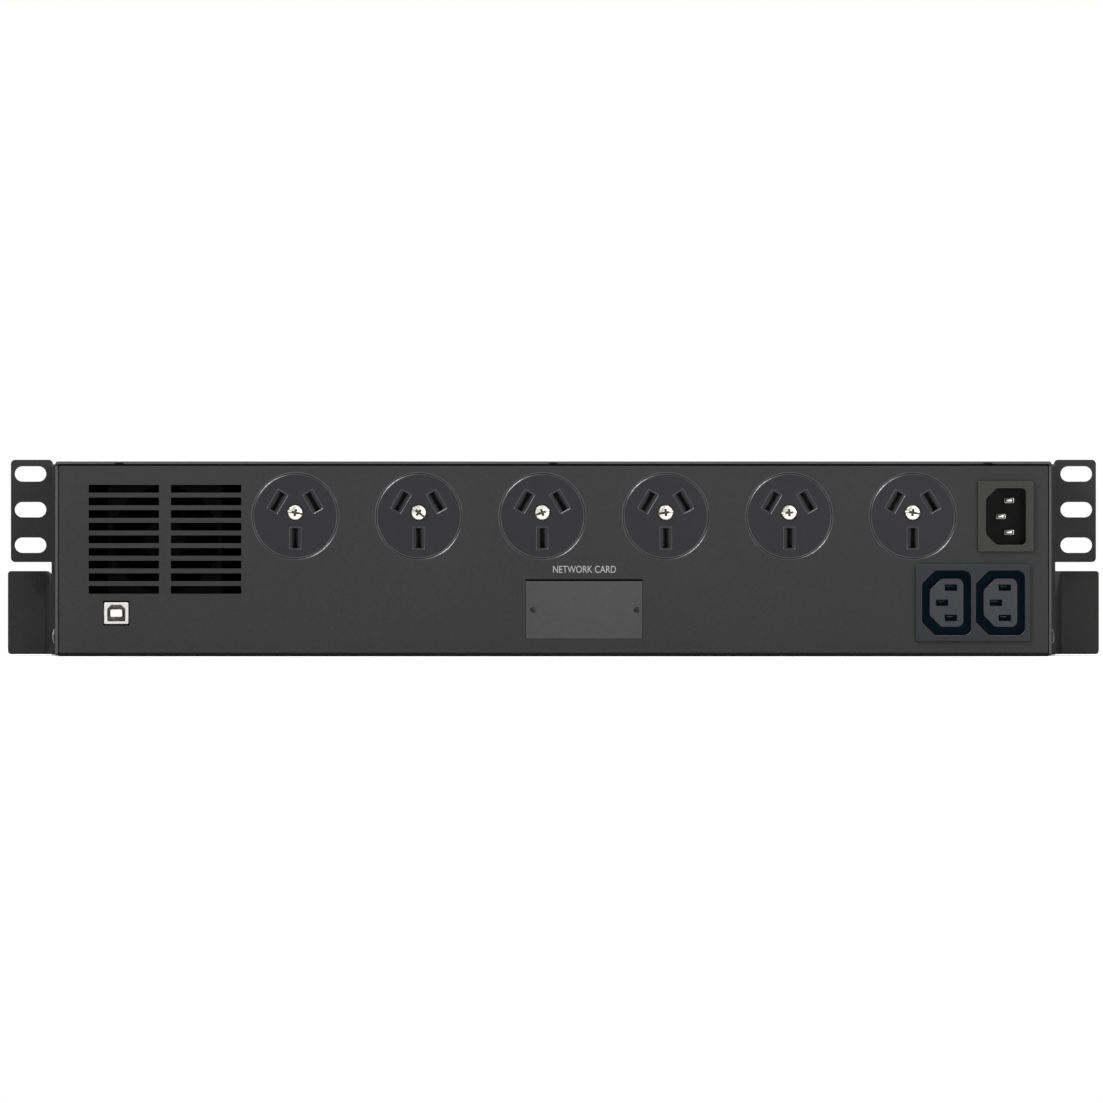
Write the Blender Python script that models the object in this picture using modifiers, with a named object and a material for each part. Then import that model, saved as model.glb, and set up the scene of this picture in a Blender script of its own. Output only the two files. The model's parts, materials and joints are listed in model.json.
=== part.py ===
"""A rack-mounted uninterruptible power supply, two rack units high.

Metres, +Z up. The rear panel, with its sockets, faces +Y and the front bezel faces -Y.
The origin is on the underside, at the middle of the object's width and depth.
"""

import math

import bmesh
import bpy
from mathutils import Matrix

# Overall sizes: a 19-inch panel, two units high
CHASSIS_HALF_WIDTH = 0.2190
CHASSIS_HEIGHT = 0.0853
OVERALL_HALF_DEPTH = 0.1500
PANEL_FACE_Y = 0.1480
EAR_FRONT_Y = -0.1230
EAR_BACK_Y = -0.1200
SHEET = 0.0012
GAP = 0.0003
INSIDE_HALF_WIDTH = CHASSIS_HALF_WIDTH - SHEET - GAP
PANEL_TOP_Z = 0.0834
PAST = 0.0040  # how far a cutter reaches past the face it opens

# Rack brackets
BRACKET_SHEET = 0.0030
BRACKET_INNER_X = CHASSIS_HALF_WIDTH + GAP
BRACKET_OUTER_X = BRACKET_INNER_X + BRACKET_SHEET
BRACKET_BACK_Y = -0.0230
BRACKET_TOP_Z = 0.0844
EAR_OUTER_X = 0.2413
EAR_BOTTOM_Z = 0.0410
EAR_TOP_Z = 0.0865
EAR_CORNER = 0.0019
RACK_HOLE_X = 0.23255
RACK_HOLE_Z = (0.0802, 0.0643, 0.0485)
RACK_HOLE_LENGTH = 0.0140
RACK_HOLE_HEIGHT = 0.0068
TAB_OUTER_X = 0.2428
TAB_INNER_X = 0.2262
TAB_TOP_Z = 0.0370
TAB_BACK_Y = -0.1390
TAB_CORNER = 0.0014
BRACKET_SCREWS = ((-0.1050, 0.0200), (-0.1050, 0.0650), (-0.0400, 0.0425))
BRACKET_SCREW_HEAD_R = 0.0042
BRACKET_SCREW_SHANK_R = 0.0020
BRACKET_SCREW_CONE = 0.0024
BRACKET_SCREW_LENGTH = 0.0090
HEX_SOCKET = (0.0013, 0.0016)
SIDE_FLANGE_TOP_Z = 0.0140
FRONT_WALL_Y = (EAR_FRONT_Y + 0.0010, EAR_FRONT_Y + 0.0010 + SHEET)
CABLE_OPENING = ((-0.0600, -0.0400), (0.0400, 0.0500), 0.0030)

# Cooling slots of the rear panel
VENT_COLUMNS_X = (0.18885, 0.15270)
VENT_WIDTH = 0.0309
VENT_HEIGHT = 0.0034
VENT_TOP_Z = 0.0733
VENT_PITCH = 0.00556
VENT_ROWS = 9

# Round outlets
OUTLET_FIRST_X = 0.1135
OUTLET_PITCH = 0.0543
OUTLET_COUNT = 6
OUTLET_Z = 0.0613
OUTLET_HOLE_R = 0.01905
OUTLET_FACE_R = 0.0183
OUTLET_FACE_Y = 0.1485
OUTLET_RIM_R = 0.0186
OUTLET_BASE_R = 0.0200
OUTLET_DEPTH = 0.0200
OUTLET_SLOT = (0.0024, 0.0087, 0.0140)
OUTLET_ACTIVE_OFFSET = (0.0078, 0.0064)
OUTLET_EARTH_DROP = 0.0097
OUTLET_ACTIVE_LEAN = math.radians(30)
OUTLET_SCREW_RISE = 0.0015
OUTLET_SCREW_HEAD_R = 0.0034
OUTLET_SCREW_SHANK_R = 0.0015
OUTLET_SCREW_HEIGHT = 0.0013
OUTLET_SCREW_LENGTH = 0.0110
OUTLET_WELL_DEPTHS = (0.0008, 0.0120)

# Mains inlet
INLET_X = -0.1989
INLET_Z = 0.0611
INLET_FLANGE = (0.0245, 0.03085)
INLET_BODY = (0.0207, 0.0281)
INLET_CAVITY = (0.0175, 0.0249)
INLET_CHAMFER = 0.0050
INLET_CORNER = 0.0018
INLET_CAVITY_DEPTH = 0.0190
INLET_BODY_DEPTH = 0.0220
INLET_PIN = (0.0040, 0.0020)
INLET_PIN_PITCH = 0.0070
INLET_LINE_X = -0.2004
INLET_EARTH_X = -0.1967
INLET_PIN_TIP_Y = 0.1455
INLET_PIN_END_Y = 0.1180

# Dual appliance outlet block
DUAL_X = -0.18435
DUAL_Z = 0.02315
DUAL_FLANGE = (0.0501, 0.0337)
DUAL_BODY = (0.0470, 0.0306)
DUAL_DEPTH = 0.0240
DUAL_SOCKETS_X = (-0.1728, -0.1965)
DUAL_MOAT = (0.0215, 0.0284)
DUAL_MOAT_CHAMFER = 0.0060
DUAL_MOAT_CORNER = 0.0032
DUAL_ISLAND = (0.0149, 0.0213)
DUAL_ISLAND_CHAMFER = 0.0054
DUAL_ISLAND_CORNER = 0.0028
DUAL_MOAT_DEPTH = 0.0170
DUAL_SLOT = (0.0053, 0.00265)
DUAL_LINE_SHIFT = -0.0019
DUAL_EARTH_SHIFT = 0.0020
DUAL_LINE_RISE = 0.00665
FLANGE_FRONT_Y = OVERALL_HALF_DEPTH
FLANGE_BACK_Y = PANEL_FACE_Y + GAP
FLANGE_OVERLAP = 0.0005

# Data socket
USB_X = 0.1922
USB_Z = 0.0186
USB_CUTOUT = (0.0115, 0.0108)
USB_SHELL = (0.0108, 0.0100)
USB_OPENING = (0.0078, 0.0072)
USB_DEPTH = 0.0160
USB_TONGUE = (0.0052, 0.0032)
USB_SHELL_BACK = 0.0010
USB_PROUD = 0.0006
COMM_BOARD_X = (0.1780, 0.2060)
COMM_BOARD_Y = (0.1265, 0.1460)
BOARD_THICK = 0.0016

# Accessory card slot
CARD_OPENING = (-0.0392, 0.0122, 0.0072, 0.0335)
CARD_COVER = (-0.03885, 0.01185, 0.0079, 0.0327)
CARD_SCREWS_X = (0.0091, -0.0365)
CARD_SCREW_Z = 0.0201
CARD_SCREW_HEAD_R = 0.0012
CARD_SCREW_SHANK_R = 0.0006
CARD_SCREW_HOLE_R = 0.0008
CARD_SCREW_LENGTH = 0.0045
CARD_BAY_DEPTH = 0.1100
CARD_BAY_SHEET = 0.0010
CARD_BAY_LIP = 0.0060

# Fan
FAN_X = 0.1708
FAN_Z = 0.0510
FAN_SIZE = 0.0500
FAN_BACK_Y = 0.1464
FAN_FRONT_Y = 0.1265
FAN_BORE_R = 0.0235
FAN_HUB_R = 0.0100
FAN_BLADES = 7
FAN_BLADE_TIP_R = 0.0227
FAN_BLADE_PITCH = math.radians(42)
FAN_BLADE_HALF_CHORD = 0.0080
FAN_BLADE_HALF_THICK = 0.0006
FAN_CORNER = 0.0028
FAN_SUPPORT = 0.0024
FAN_STRUT = (0.0030, 0.0020)
FAN_BRACKET_EDGE = 0.0040

# Transformer, boards, heat sink and capacitors
CORE_X = (-0.1980, -0.1020)
CORE_Y = (-0.0900, -0.0400)
CORE_Z = (0.0015, 0.0805)
CORE_WINDOWS_X = ((-0.1820, -0.1660), (-0.1340, -0.1180))
CORE_WINDOW_Z = (0.0170, 0.0650)
WINDING_X = (-0.1815, -0.1185)
WINDING_Y = (-0.1040, -0.0260)
WINDING_BORE_X = (-0.1664, -0.1336)
WINDING_BORE_Y = (-0.0906, -0.0394)
WINDING_CORNER = 0.0080
BOARD_Z = (0.0055, 0.0071)
MAIN_BOARD_X = (-0.2120, -0.0500)
MAIN_BOARD_Y = (-0.0100, 0.1150)
POWER_BOARD_X = (0.1240, 0.2120)
POWER_BOARD_Y = (0.0710, 0.1180)
HEAT_SINK_X = (0.1420, 0.2000)
HEAT_SINK_Y = (0.0750, 0.1150)
HEAT_SINK_Z = (0.0076, 0.0140, 0.0640)
HEAT_SINK_FINS = 7
CAPACITORS_X = (-0.0640, -0.0900)
CAPACITOR_Y = 0.0200
CAPACITOR = (0.0110, 0.0400)
CAPACITOR_FOOT_Z = 0.0074

# Battery drawer
DRAWER_X = (0.0160, 0.2090)
DRAWER_Y = (-0.1195, 0.0410)
DRAWER_FLOOR_Z = 0.0037
DRAWER_WALL_Z = 0.0465
DRAWER_OPENING_TOP_Z = 0.0745
BATTERY = (0.0940, 0.1510, 0.0650)
DRAWER_FRONT_X = (0.0080, 0.2130)
DRAWER_FRONT_Z = (0.0040, 0.0810)
DRAWER_FRONT_Y = -0.1495
GRIP_X = (0.0750, 0.1460)
GRIP_Z = (0.0100, 0.0270)
GRIP_DEPTH = 0.0140
GRIP_WALL = 0.0020
BATTERY_FRONT_Y = DRAWER_Y[0] + SHEET + 0.0030
BATTERY_HALF_GAP = 0.0004
PLUG_X = (0.0980, 0.1240)
PLUG_Y = (DRAWER_Y[1] + GAP, DRAWER_Y[1] + 0.0110)
PLUG_Z = (0.0200, 0.0340)
SOCKET_X = (0.0950, 0.1270)
SOCKET_Y = (DRAWER_Y[1] + 0.0115, 0.0640)
SOCKET_Z = (0.0180, 0.0360)
DIVIDER_X = (0.0150, 0.2130)
DIVIDER_Y = (0.0643, 0.0655)
DIVIDER_TOP_Z = 0.0720

# Front bezel
BEZEL_HALF_WIDTH = 0.2185
BEZEL_Z = (0.0006, 0.0850)
BEZEL_BACK_Y = -0.1225
BEZEL_WALL = 0.0025
BEZEL_EDGE = 0.0020
MOUTH_GAP = 0.0008
DISPLAY_X = (-0.1520, -0.0780)
DISPLAY_Z = (0.0340, 0.0660)
POWER_BUTTON_X = -0.1780
POWER_BUTTON_Z = 0.0500
POWER_BUTTON_R = 0.0065
KEYS_X = (-0.1370, -0.1150, -0.0930)
KEY_Z = 0.0200
KEY_SIZE = (0.0140, 0.0060)
KEY_GAP = 0.0004
BUTTON_FLANGE = 0.0012
WINDOW_THICK = 0.0022
DISPLAY_BOARD_X = (-0.1960, -0.0660)
DISPLAY_BOARD_Y = (-0.1320, -0.1304)
DISPLAY_BOARD_Z = (0.0080, 0.0780)

PART = bpy.data.collections.new("rackmount_ups")
CUTTERS = bpy.data.collections.new("cutters")

# Colour, roughness and metallic value of each material
MATERIALS = {
    "powder_coat": ((0.048, 0.048, 0.048), 0.55, 0.0),
    "cover_plate_coat": ((0.080, 0.080, 0.080), 0.50, 0.0),
    "zinc_sheet": ((0.560, 0.570, 0.560), 0.40, 1.0),
    "bright_screw": ((0.720, 0.680, 0.600), 0.25, 1.0),
    "dark_screw": ((0.035, 0.035, 0.035), 0.35, 1.0),
    "outlet_plastic": ((0.050, 0.051, 0.054), 0.42, 0.0),
    "inlet_plastic": ((0.020, 0.021, 0.024), 0.22, 0.0),
    "contact_metal": ((0.700, 0.690, 0.660), 0.25, 1.0),
    "usb_plastic": ((0.780, 0.780, 0.760), 0.45, 0.0),
    "fan_plastic": ((0.015, 0.015, 0.016), 0.45, 0.0),
    "core_steel": ((0.160, 0.155, 0.150), 0.55, 1.0),
    "winding": ((0.500, 0.240, 0.050), 0.45, 0.0),
    "circuit_board": ((0.020, 0.150, 0.060), 0.45, 0.0),
    "heat_sink_metal": ((0.760, 0.770, 0.780), 0.35, 1.0),
    "capacitor_sleeve": ((0.020, 0.030, 0.080), 0.30, 0.0),
    "battery_case": ((0.060, 0.062, 0.066), 0.55, 0.0),
    "bezel_plastic": ((0.022, 0.022, 0.024), 0.50, 0.0),
    "display_glass": ((0.010, 0.014, 0.020), 0.08, 0.0),
    "button_plastic": ((0.110, 0.112, 0.118), 0.45, 0.0),
}

# Turns an object's own +Z, or a flat outline's normal, to the named direction
TURNS = {
    "+Z": Matrix.Identity(4),
    "+Y": Matrix.Rotation(math.radians(-90), 4, "X"),
    "-Y": Matrix.Rotation(math.radians(90), 4, "X"),
    "+X": Matrix.Rotation(math.radians(90), 4, "Y"),
    "-X": Matrix.Rotation(math.radians(-90), 4, "Y"),
}

# An outline's (u, v) becomes (X, Z) on a plate facing -Y, and (Y, Z) on one facing +X
PLATE_TURNS = {
    "XZ": TURNS["-Y"],
    "YZ": Matrix(((0, 0, 1, 0), (1, 0, 0, 0), (0, 1, 0, 0), (0, 0, 0, 1))),
    "XY": TURNS["+Z"],
}


def clear_scene():
    for item in list(bpy.data.objects):
        bpy.data.objects.remove(item, do_unlink=True)
    bpy.context.scene.collection.children.link(PART)
    bpy.context.scene.collection.children.link(CUTTERS)


def make_materials():
    made = {}
    for name, (colour, roughness, metallic) in MATERIALS.items():
        material = bpy.data.materials.new(name)
        material.use_nodes = True
        shader = material.node_tree.nodes["Principled BSDF"]
        shader.inputs["Base Color"].default_value = (*colour, 1.0)
        shader.inputs["Roughness"].default_value = roughness
        shader.inputs["Metallic"].default_value = metallic
        made[name] = material
    return made


def add_object(name, mesh, material):
    """Links a mesh as a node of the part, or as a cutter where it has no material."""
    item = bpy.data.objects.new(name, mesh)
    if material is None:
        item.hide_render = True
        item.display_type = "WIRE"
        CUTTERS.objects.link(item)
    else:
        mesh.materials.append(material)
        PART.objects.link(item)
    return item


def box(name, x, y, z, material=None):
    """A box between two values on each axis, with its origin at its middle."""
    mesh = bpy.data.meshes.new(name)
    shape = bmesh.new()
    bmesh.ops.create_cube(shape, size=1.0)
    size = [high - low for low, high in (x, y, z)]
    bmesh.ops.scale(shape, vec=size, verts=shape.verts)
    shape.to_mesh(mesh)
    shape.free()
    item = add_object(name, mesh, material)
    item.location = [(low + high) / 2 for low, high in (x, y, z)]
    return item


def centred_box(name, centre, size, y, material=None):
    """A box given by its middle and size on X and Z, between two values of Y."""
    x = (centre[0] - size[0] / 2, centre[0] + size[0] / 2)
    z = (centre[1] - size[1] / 2, centre[1] + size[1] / 2)
    return box(name, x, y, z, material)


def arc(centre, radius, start, end, steps):
    """Points of an arc, from one angle to another in degrees."""
    angles = [math.radians(start + (end - start) * i / steps) for i in range(steps + 1)]
    return [(centre[0] + radius * math.cos(a), centre[1] + radius * math.sin(a)) for a in angles]


def circle(centre, radius, steps):
    return arc(centre, radius, 0, 360, steps)[:-1]


def rectangle(u, v):
    return [(u[0], v[0]), (u[1], v[0]), (u[1], v[1]), (u[0], v[1])]


def centred_rectangle(centre, size):
    u = (centre[0] - size[0] / 2, centre[0] + size[0] / 2)
    v = (centre[1] - size[1] / 2, centre[1] + size[1] / 2)
    return rectangle(u, v)


def rounded_rectangle(u, v, radius, steps=3):
    """A rectangle with round corners, starting at its lower left."""
    points = arc((u[0] + radius, v[0] + radius), radius, 180, 270, steps)
    points += arc((u[1] - radius, v[0] + radius), radius, 270, 360, steps)
    points += arc((u[1] - radius, v[1] - radius), radius, 0, 90, steps)
    points += arc((u[0] + radius, v[1] - radius), radius, 90, 180, steps)
    return points


def obround(centre, length, height, steps=6):
    """A slot with half-round ends, long in u."""
    radius = height / 2
    reach = length / 2 - radius
    points = arc((centre[0] + reach, centre[1]), radius, -90, 90, steps)
    points += arc((centre[0] - reach, centre[1]), radius, 90, 270, steps)
    return points


def keyed_outline(centre, size, chamfer, corner, steps=3):
    """An appliance connector's outline: two chamfers at +X and two round corners at -X."""
    left = centre[0] - size[0] / 2
    right = centre[0] + size[0] / 2
    low = centre[1] - size[1] / 2
    high = centre[1] + size[1] / 2
    points = arc((left + corner, low + corner), corner, 180, 270, steps)
    points += [(right - chamfer, low), (right, low + chamfer)]
    points += [(right, high - chamfer), (right - chamfer, high)]
    points += arc((left + corner, high - corner), corner, 90, 180, steps)
    return points


def plate(name, outlines, plane, low, high, material=None):
    """A flat plate between two values on the axis across its plane; inner outlines are holes."""
    curve = bpy.data.curves.new(name, "CURVE")
    curve.dimensions = "2D"
    curve.fill_mode = "BOTH"
    curve.extrude = (high - low) / 2
    for outline in outlines:
        spline = curve.splines.new("POLY")
        spline.points.add(len(outline) - 1)
        spline.use_cyclic_u = True
        for point, (u, v) in zip(spline.points, outline):
            point.co = (u, v, 0.0, 1.0)
    flat = bpy.data.objects.new(name + "_curve", curve)
    CUTTERS.objects.link(flat)
    bpy.context.view_layer.update()
    graph = bpy.context.evaluated_depsgraph_get()
    mesh = bpy.data.meshes.new_from_object(flat.evaluated_get(graph))
    bpy.data.objects.remove(flat, do_unlink=True)
    weld(mesh)
    item = add_object(name, mesh, material)
    across = {"XZ": 1, "YZ": 0, "XY": 2}[plane]
    item.matrix_world = PLATE_TURNS[plane]
    item.location[across] = (low + high) / 2
    return item


def weld(mesh):
    shape = bmesh.new()
    shape.from_mesh(mesh)
    bmesh.ops.remove_doubles(shape, verts=shape.verts, dist=0.000001)
    bmesh.ops.recalc_face_normals(shape, faces=shape.faces)
    shape.to_mesh(mesh)
    shape.free()


def turned(name, profile, place, direction, steps, material=None):
    """A turned solid: (radius, height) points from the top's centre down the outer side."""
    mesh = bpy.data.meshes.new(name)
    points = [(radius, 0.0, height) for radius, height in profile]
    edges = [(i, i + 1) for i in range(len(points) - 1)]
    mesh.from_pydata(points, edges, [])
    item = add_object(name, mesh, material)
    item.matrix_world = TURNS[direction]
    item.location = place
    screw = item.modifiers.new("turn", "SCREW")
    screw.steps = steps
    screw.render_steps = steps
    screw.use_merge_vertices = True
    screw.merge_threshold = 0.00001
    return item


def combine(target, other, operation):
    step = target.modifiers.new(operation.lower(), "BOOLEAN")
    step.operation = operation
    step.solver = "EXACT"
    step.object = other


def cut(target, *cutters):
    for cutter in cutters:
        combine(target, cutter, "DIFFERENCE")


def join(target, *others):
    for other in others:
        combine(target, other, "UNION")


def bevel(target, width, segments=2):
    step = target.modifiers.new("bevel", "BEVEL")
    step.width = width
    step.segments = segments
    step.limit_method = "ANGLE"
    step.angle_limit = math.radians(40)


def smooth(target):
    target.data.shade_smooth()
    target.data.set_sharp_from_angle(angle=math.radians(35))


def outlet_centres():
    return [(OUTLET_FIRST_X - OUTLET_PITCH * i, OUTLET_Z) for i in range(OUTLET_COUNT)]


def vent_outlines():
    outlines = []
    for x in VENT_COLUMNS_X:
        for row in range(VENT_ROWS):
            centre = (x, VENT_TOP_Z - VENT_PITCH * row)
            outlines.append(centred_rectangle(centre, (VENT_WIDTH, VENT_HEIGHT)))
    return outlines


def grown(size, margin):
    return [value + 2 * margin for value in size]


def make_rear_panel(steel):
    outlines = [rectangle((-INSIDE_HALF_WIDTH, INSIDE_HALF_WIDTH), (SHEET + GAP, PANEL_TOP_Z))]
    outlines += vent_outlines()
    outlines += [circle(centre, OUTLET_HOLE_R, 32) for centre in outlet_centres()]
    outlines.append(centred_rectangle((USB_X, USB_Z), USB_CUTOUT))
    outlines.append(rectangle(CARD_OPENING[:2], CARD_OPENING[2:]))
    outlines.append(centred_rectangle((INLET_X, INLET_Z), grown(INLET_BODY, GAP)))
    outlines.append(centred_rectangle((DUAL_X, DUAL_Z), grown(DUAL_BODY, GAP)))
    plate("rear_panel", outlines, "XZ", PANEL_FACE_Y - SHEET, PANEL_FACE_Y, steel)


def make_base_pan(steel):
    """Floor, front wall and low side flanges, folded from one sheet."""
    overlap = 0.0002
    x = (-INSIDE_HALF_WIDTH, INSIDE_HALF_WIDTH)
    pan = box("base_pan", x, (FRONT_WALL_Y[0], PANEL_FACE_Y), (0.0, SHEET), steel)
    wall = [rectangle(x, (overlap, PANEL_TOP_Z))]
    drawer_x = (DRAWER_X[0] - SHEET, DRAWER_X[1] + SHEET)
    wall.append(rectangle(drawer_x, (DRAWER_FLOOR_Z - GAP, DRAWER_OPENING_TOP_Z)))
    wall.append(rounded_rectangle(*CABLE_OPENING))
    join(pan, plate("front_wall", wall, "XZ", *FRONT_WALL_Y))
    y = (FRONT_WALL_Y[0] + overlap, PANEL_FACE_Y - SHEET - GAP)
    for side in (-1, 1):
        x = sorted((side * INSIDE_HALF_WIDTH, side * (INSIDE_HALF_WIDTH - SHEET)))
        join(pan, box("side_flange", x, y, (overlap, SIDE_FLANGE_TOP_Z)))


def make_top_cover(steel):
    """Top and both sides, folded from one sheet, with a hole for each bracket screw."""
    y = (EAR_FRONT_Y + 0.0008, PANEL_FACE_Y)
    outer = CHASSIS_HALF_WIDTH
    inner = outer - SHEET
    under = CHASSIS_HEIGHT - SHEET
    outline = [(-outer, 0.0), (-inner, 0.0), (-inner, under), (inner, under)]
    outline += [(inner, 0.0), (outer, 0.0), (outer, CHASSIS_HEIGHT), (-outer, CHASSIS_HEIGHT)]
    cover = plate("top_cover", [outline], "XZ", *y, steel)
    for side in (-1, 1):
        for y_screw, z_screw in BRACKET_SCREWS:
            hole = pin_profile(BRACKET_SCREW_SHANK_R + 0.0004, PAST, -PAST)
            place = (side * outer, y_screw, z_screw)
            cut(cover, turned("cover_screw_hole", hole, place, "+X", 16))


def pin_profile(radius, top, bottom):
    """Profile of a plain round pin between two heights on its own axis."""
    return [(0.0, top), (radius, top), (radius, bottom), (0.0, bottom)]


def mirrored(outline, side):
    return [(side * u, v) for u, v in outline]


def outward(side):
    return "+X" if side > 0 else "-X"


def make_bracket_ear(side):
    """Slotted ear that stands out from the bracket's side plate."""
    x = (BRACKET_INNER_X + 0.0006, EAR_OUTER_X)
    outlines = [rounded_rectangle(x, (EAR_BOTTOM_Z, EAR_TOP_Z), EAR_CORNER)]
    for z in RACK_HOLE_Z:
        outlines.append(obround((RACK_HOLE_X, z), RACK_HOLE_LENGTH, RACK_HOLE_HEIGHT))
    outlines = [mirrored(outline, side) for outline in outlines]
    return plate("ear", outlines, "XZ", EAR_FRONT_Y - 0.00002, EAR_BACK_Y)


def make_bracket_tab(side):
    """Inclined web and the pull tab it carries, forward of the ear."""
    overlap = 0.0002
    front = TAB_BACK_Y - BRACKET_SHEET
    lean = (TAB_INNER_X - BRACKET_OUTER_X) / (EAR_BACK_Y - TAB_BACK_Y)
    web_front_x = TAB_INNER_X - BRACKET_SHEET + lean * BRACKET_SHEET
    outline = [(BRACKET_OUTER_X - overlap, EAR_BACK_Y + overlap), (TAB_INNER_X, TAB_BACK_Y)]
    outline += [(TAB_OUTER_X, TAB_BACK_Y), (TAB_OUTER_X, front), (web_front_x, front)]
    outline += [(BRACKET_INNER_X + overlap, EAR_FRONT_Y + 2 * overlap)]
    outline += [(BRACKET_INNER_X + overlap, EAR_BACK_Y + overlap)]
    tab = plate("tab", [mirrored(outline, side)], "XY", 0.0, TAB_TOP_Z)
    y = (front - PAST, TAB_BACK_Y + PAST)
    for z, rise in ((0.0, 1), (TAB_TOP_Z, -1)):
        corner = corner_waste((TAB_OUTER_X, z), TAB_CORNER, rise)
        cut(tab, plate("tab_corner", [mirrored(corner, side)], "XZ", *y))
    return tab


def corner_waste(corner, radius, rise):
    """What is cut away to round an outer corner: a little square less a quarter disc."""
    past = 0.0005
    centre = (corner[0] - radius, corner[1] + rise * radius)
    points = arc(centre, radius, 0, -90 * rise, 4)
    points += [(centre[0], corner[1] - rise * past), (corner[0] + past, corner[1] - rise * past)]
    points += [(corner[0] + past, centre[1])]
    return points


def make_rack_bracket(name, side, steel):
    """Side plate, slotted ear and a pull tab that stands forward of the ear."""
    x = sorted((side * BRACKET_INNER_X, side * BRACKET_OUTER_X))
    bracket = box(name, x, (EAR_FRONT_Y, BRACKET_BACK_Y), (0.0, BRACKET_TOP_Z), steel)
    join(bracket, make_bracket_ear(side), make_bracket_tab(side))
    sink = BRACKET_SCREW_HEAD_R + GAP
    hole = BRACKET_SCREW_SHANK_R + GAP
    profile = [(0.0, 0.001), (sink, 0.001), (sink, 0.0), (hole, -BRACKET_SCREW_CONE)]
    profile += [(hole, -PAST), (0.0, -PAST)]
    for y_screw, z_screw in BRACKET_SCREWS:
        place = (side * BRACKET_OUTER_X, y_screw, z_screw)
        cut(bracket, turned("countersink", profile, place, outward(side), 20))


def make_bracket_screws(steel):
    """Countersunk screws that hold the brackets to the chassis sides."""
    head = BRACKET_SCREW_HEAD_R
    shank = BRACKET_SCREW_SHANK_R
    profile = [(0.0, -0.0001), (head, -0.0001), (head, -0.0003), (shank, -BRACKET_SCREW_CONE)]
    profile += [(shank, -BRACKET_SCREW_LENGTH), (0.0, -BRACKET_SCREW_LENGTH)]
    socket = pin_profile(HEX_SOCKET[0], 0.001, -HEX_SOCKET[1])
    for side, label in ((1, "left"), (-1, "right")):
        for i, (y, z) in enumerate(BRACKET_SCREWS):
            place = (side * BRACKET_OUTER_X, y, z)
            screw = turned(f"bracket_screw_{label}_{i + 1}", profile, place, outward(side), 14, steel)
            cut(screw, turned("hex_socket", socket, place, outward(side), 6))


def make_outlet(name, centre, plastic):
    """Round three-pin outlet: two leaning slots over an upright one, and a middle screw's well."""
    shoulder = -(OUTLET_FACE_Y - PANEL_FACE_Y + SHEET + GAP)
    profile = [(0.0, 0.0), (OUTLET_FACE_R, 0.0), (OUTLET_RIM_R, -GAP), (OUTLET_RIM_R, shoulder)]
    profile += [(OUTLET_BASE_R, shoulder), (OUTLET_BASE_R, -OUTLET_DEPTH), (0.0, -OUTLET_DEPTH)]
    x, z = centre
    outlet = turned(name, profile, (x, OUTLET_FACE_Y, z), "+Y", 32, plastic)
    dx, dz = OUTLET_ACTIVE_OFFSET
    slots = [(x - dx, z + dz, OUTLET_ACTIVE_LEAN), (x + dx, z + dz, -OUTLET_ACTIVE_LEAN)]
    slots.append((x, z - OUTLET_EARTH_DROP, 0.0))
    slot_y = (OUTLET_FACE_Y - OUTLET_SLOT[2], OUTLET_FACE_Y + PAST)
    for slot_x, slot_z, lean in slots:
        slot = centred_box("pin_slot", (slot_x, slot_z), OUTLET_SLOT[:2], slot_y)
        slot.rotation_euler[1] = lean
        cut(outlet, slot)
    return outlet


def make_outlets(plastic, bright):
    """A row of round outlets, each with a domed screw in its face."""
    head = OUTLET_SCREW_HEAD_R
    shank = OUTLET_SCREW_SHANK_R
    seat, bottom = OUTLET_WELL_DEPTHS
    well = [(0.0, 0.002), (head + GAP, 0.002), (head + GAP, -seat)]
    well += [(shank + GAP, -seat), (shank + GAP, -bottom), (0.0, -bottom)]
    profile = [(0.0, OUTLET_SCREW_HEIGHT), (head * 0.55, 0.0011), (head * 0.9, 0.0004), (head, -0.0002)]
    profile += [(head, -0.0005), (shank, -0.0005), (shank, -OUTLET_SCREW_LENGTH), (0.0, -OUTLET_SCREW_LENGTH)]
    for i, (x, z) in enumerate(outlet_centres()):
        outlet = make_outlet(f"outlet_{i + 1}", (x, z), plastic)
        place = (x, OUTLET_FACE_Y, z + OUTLET_SCREW_RISE)
        cut(outlet, turned("screw_well", well, place, "+Y", 14))
        smooth(turned(f"outlet_screw_{i + 1}", profile, place, "+Y", 14, bright))


def make_inlet(plastic, metal):
    """Mains inlet: a flanged cup with three flat pins standing in it."""
    centre = (INLET_X, INLET_Z)
    back_y = FLANGE_FRONT_Y - INLET_BODY_DEPTH
    floor_y = FLANGE_FRONT_Y - INLET_CAVITY_DEPTH
    housing = centred_box("inlet_housing", centre, INLET_FLANGE, (FLANGE_BACK_Y, FLANGE_FRONT_Y), plastic)
    join(housing, centred_box("inlet_body", centre, INLET_BODY, (back_y, FLANGE_BACK_Y + FLANGE_OVERLAP)))
    cavity = keyed_outline(centre, INLET_CAVITY, INLET_CHAMFER, INLET_CORNER)
    cut(housing, plate("inlet_cavity", [cavity], "XZ", floor_y, FLANGE_FRONT_Y + PAST))
    pins = {
        "inlet_pin_line": (INLET_LINE_X, INLET_Z + INLET_PIN_PITCH),
        "inlet_pin_neutral": (INLET_LINE_X, INLET_Z - INLET_PIN_PITCH),
        "inlet_pin_earth": (INLET_EARTH_X, INLET_Z),
    }
    for name, pin_centre in pins.items():
        hole_y = (back_y - PAST, floor_y + PAST)
        cut(housing, centred_box("pin_hole", pin_centre, grown(INLET_PIN, GAP), hole_y))
        pin = centred_box(name, pin_centre, INLET_PIN, (INLET_PIN_END_Y, INLET_PIN_TIP_Y), metal)
        bevel(pin, 0.0004, 1)


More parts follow.
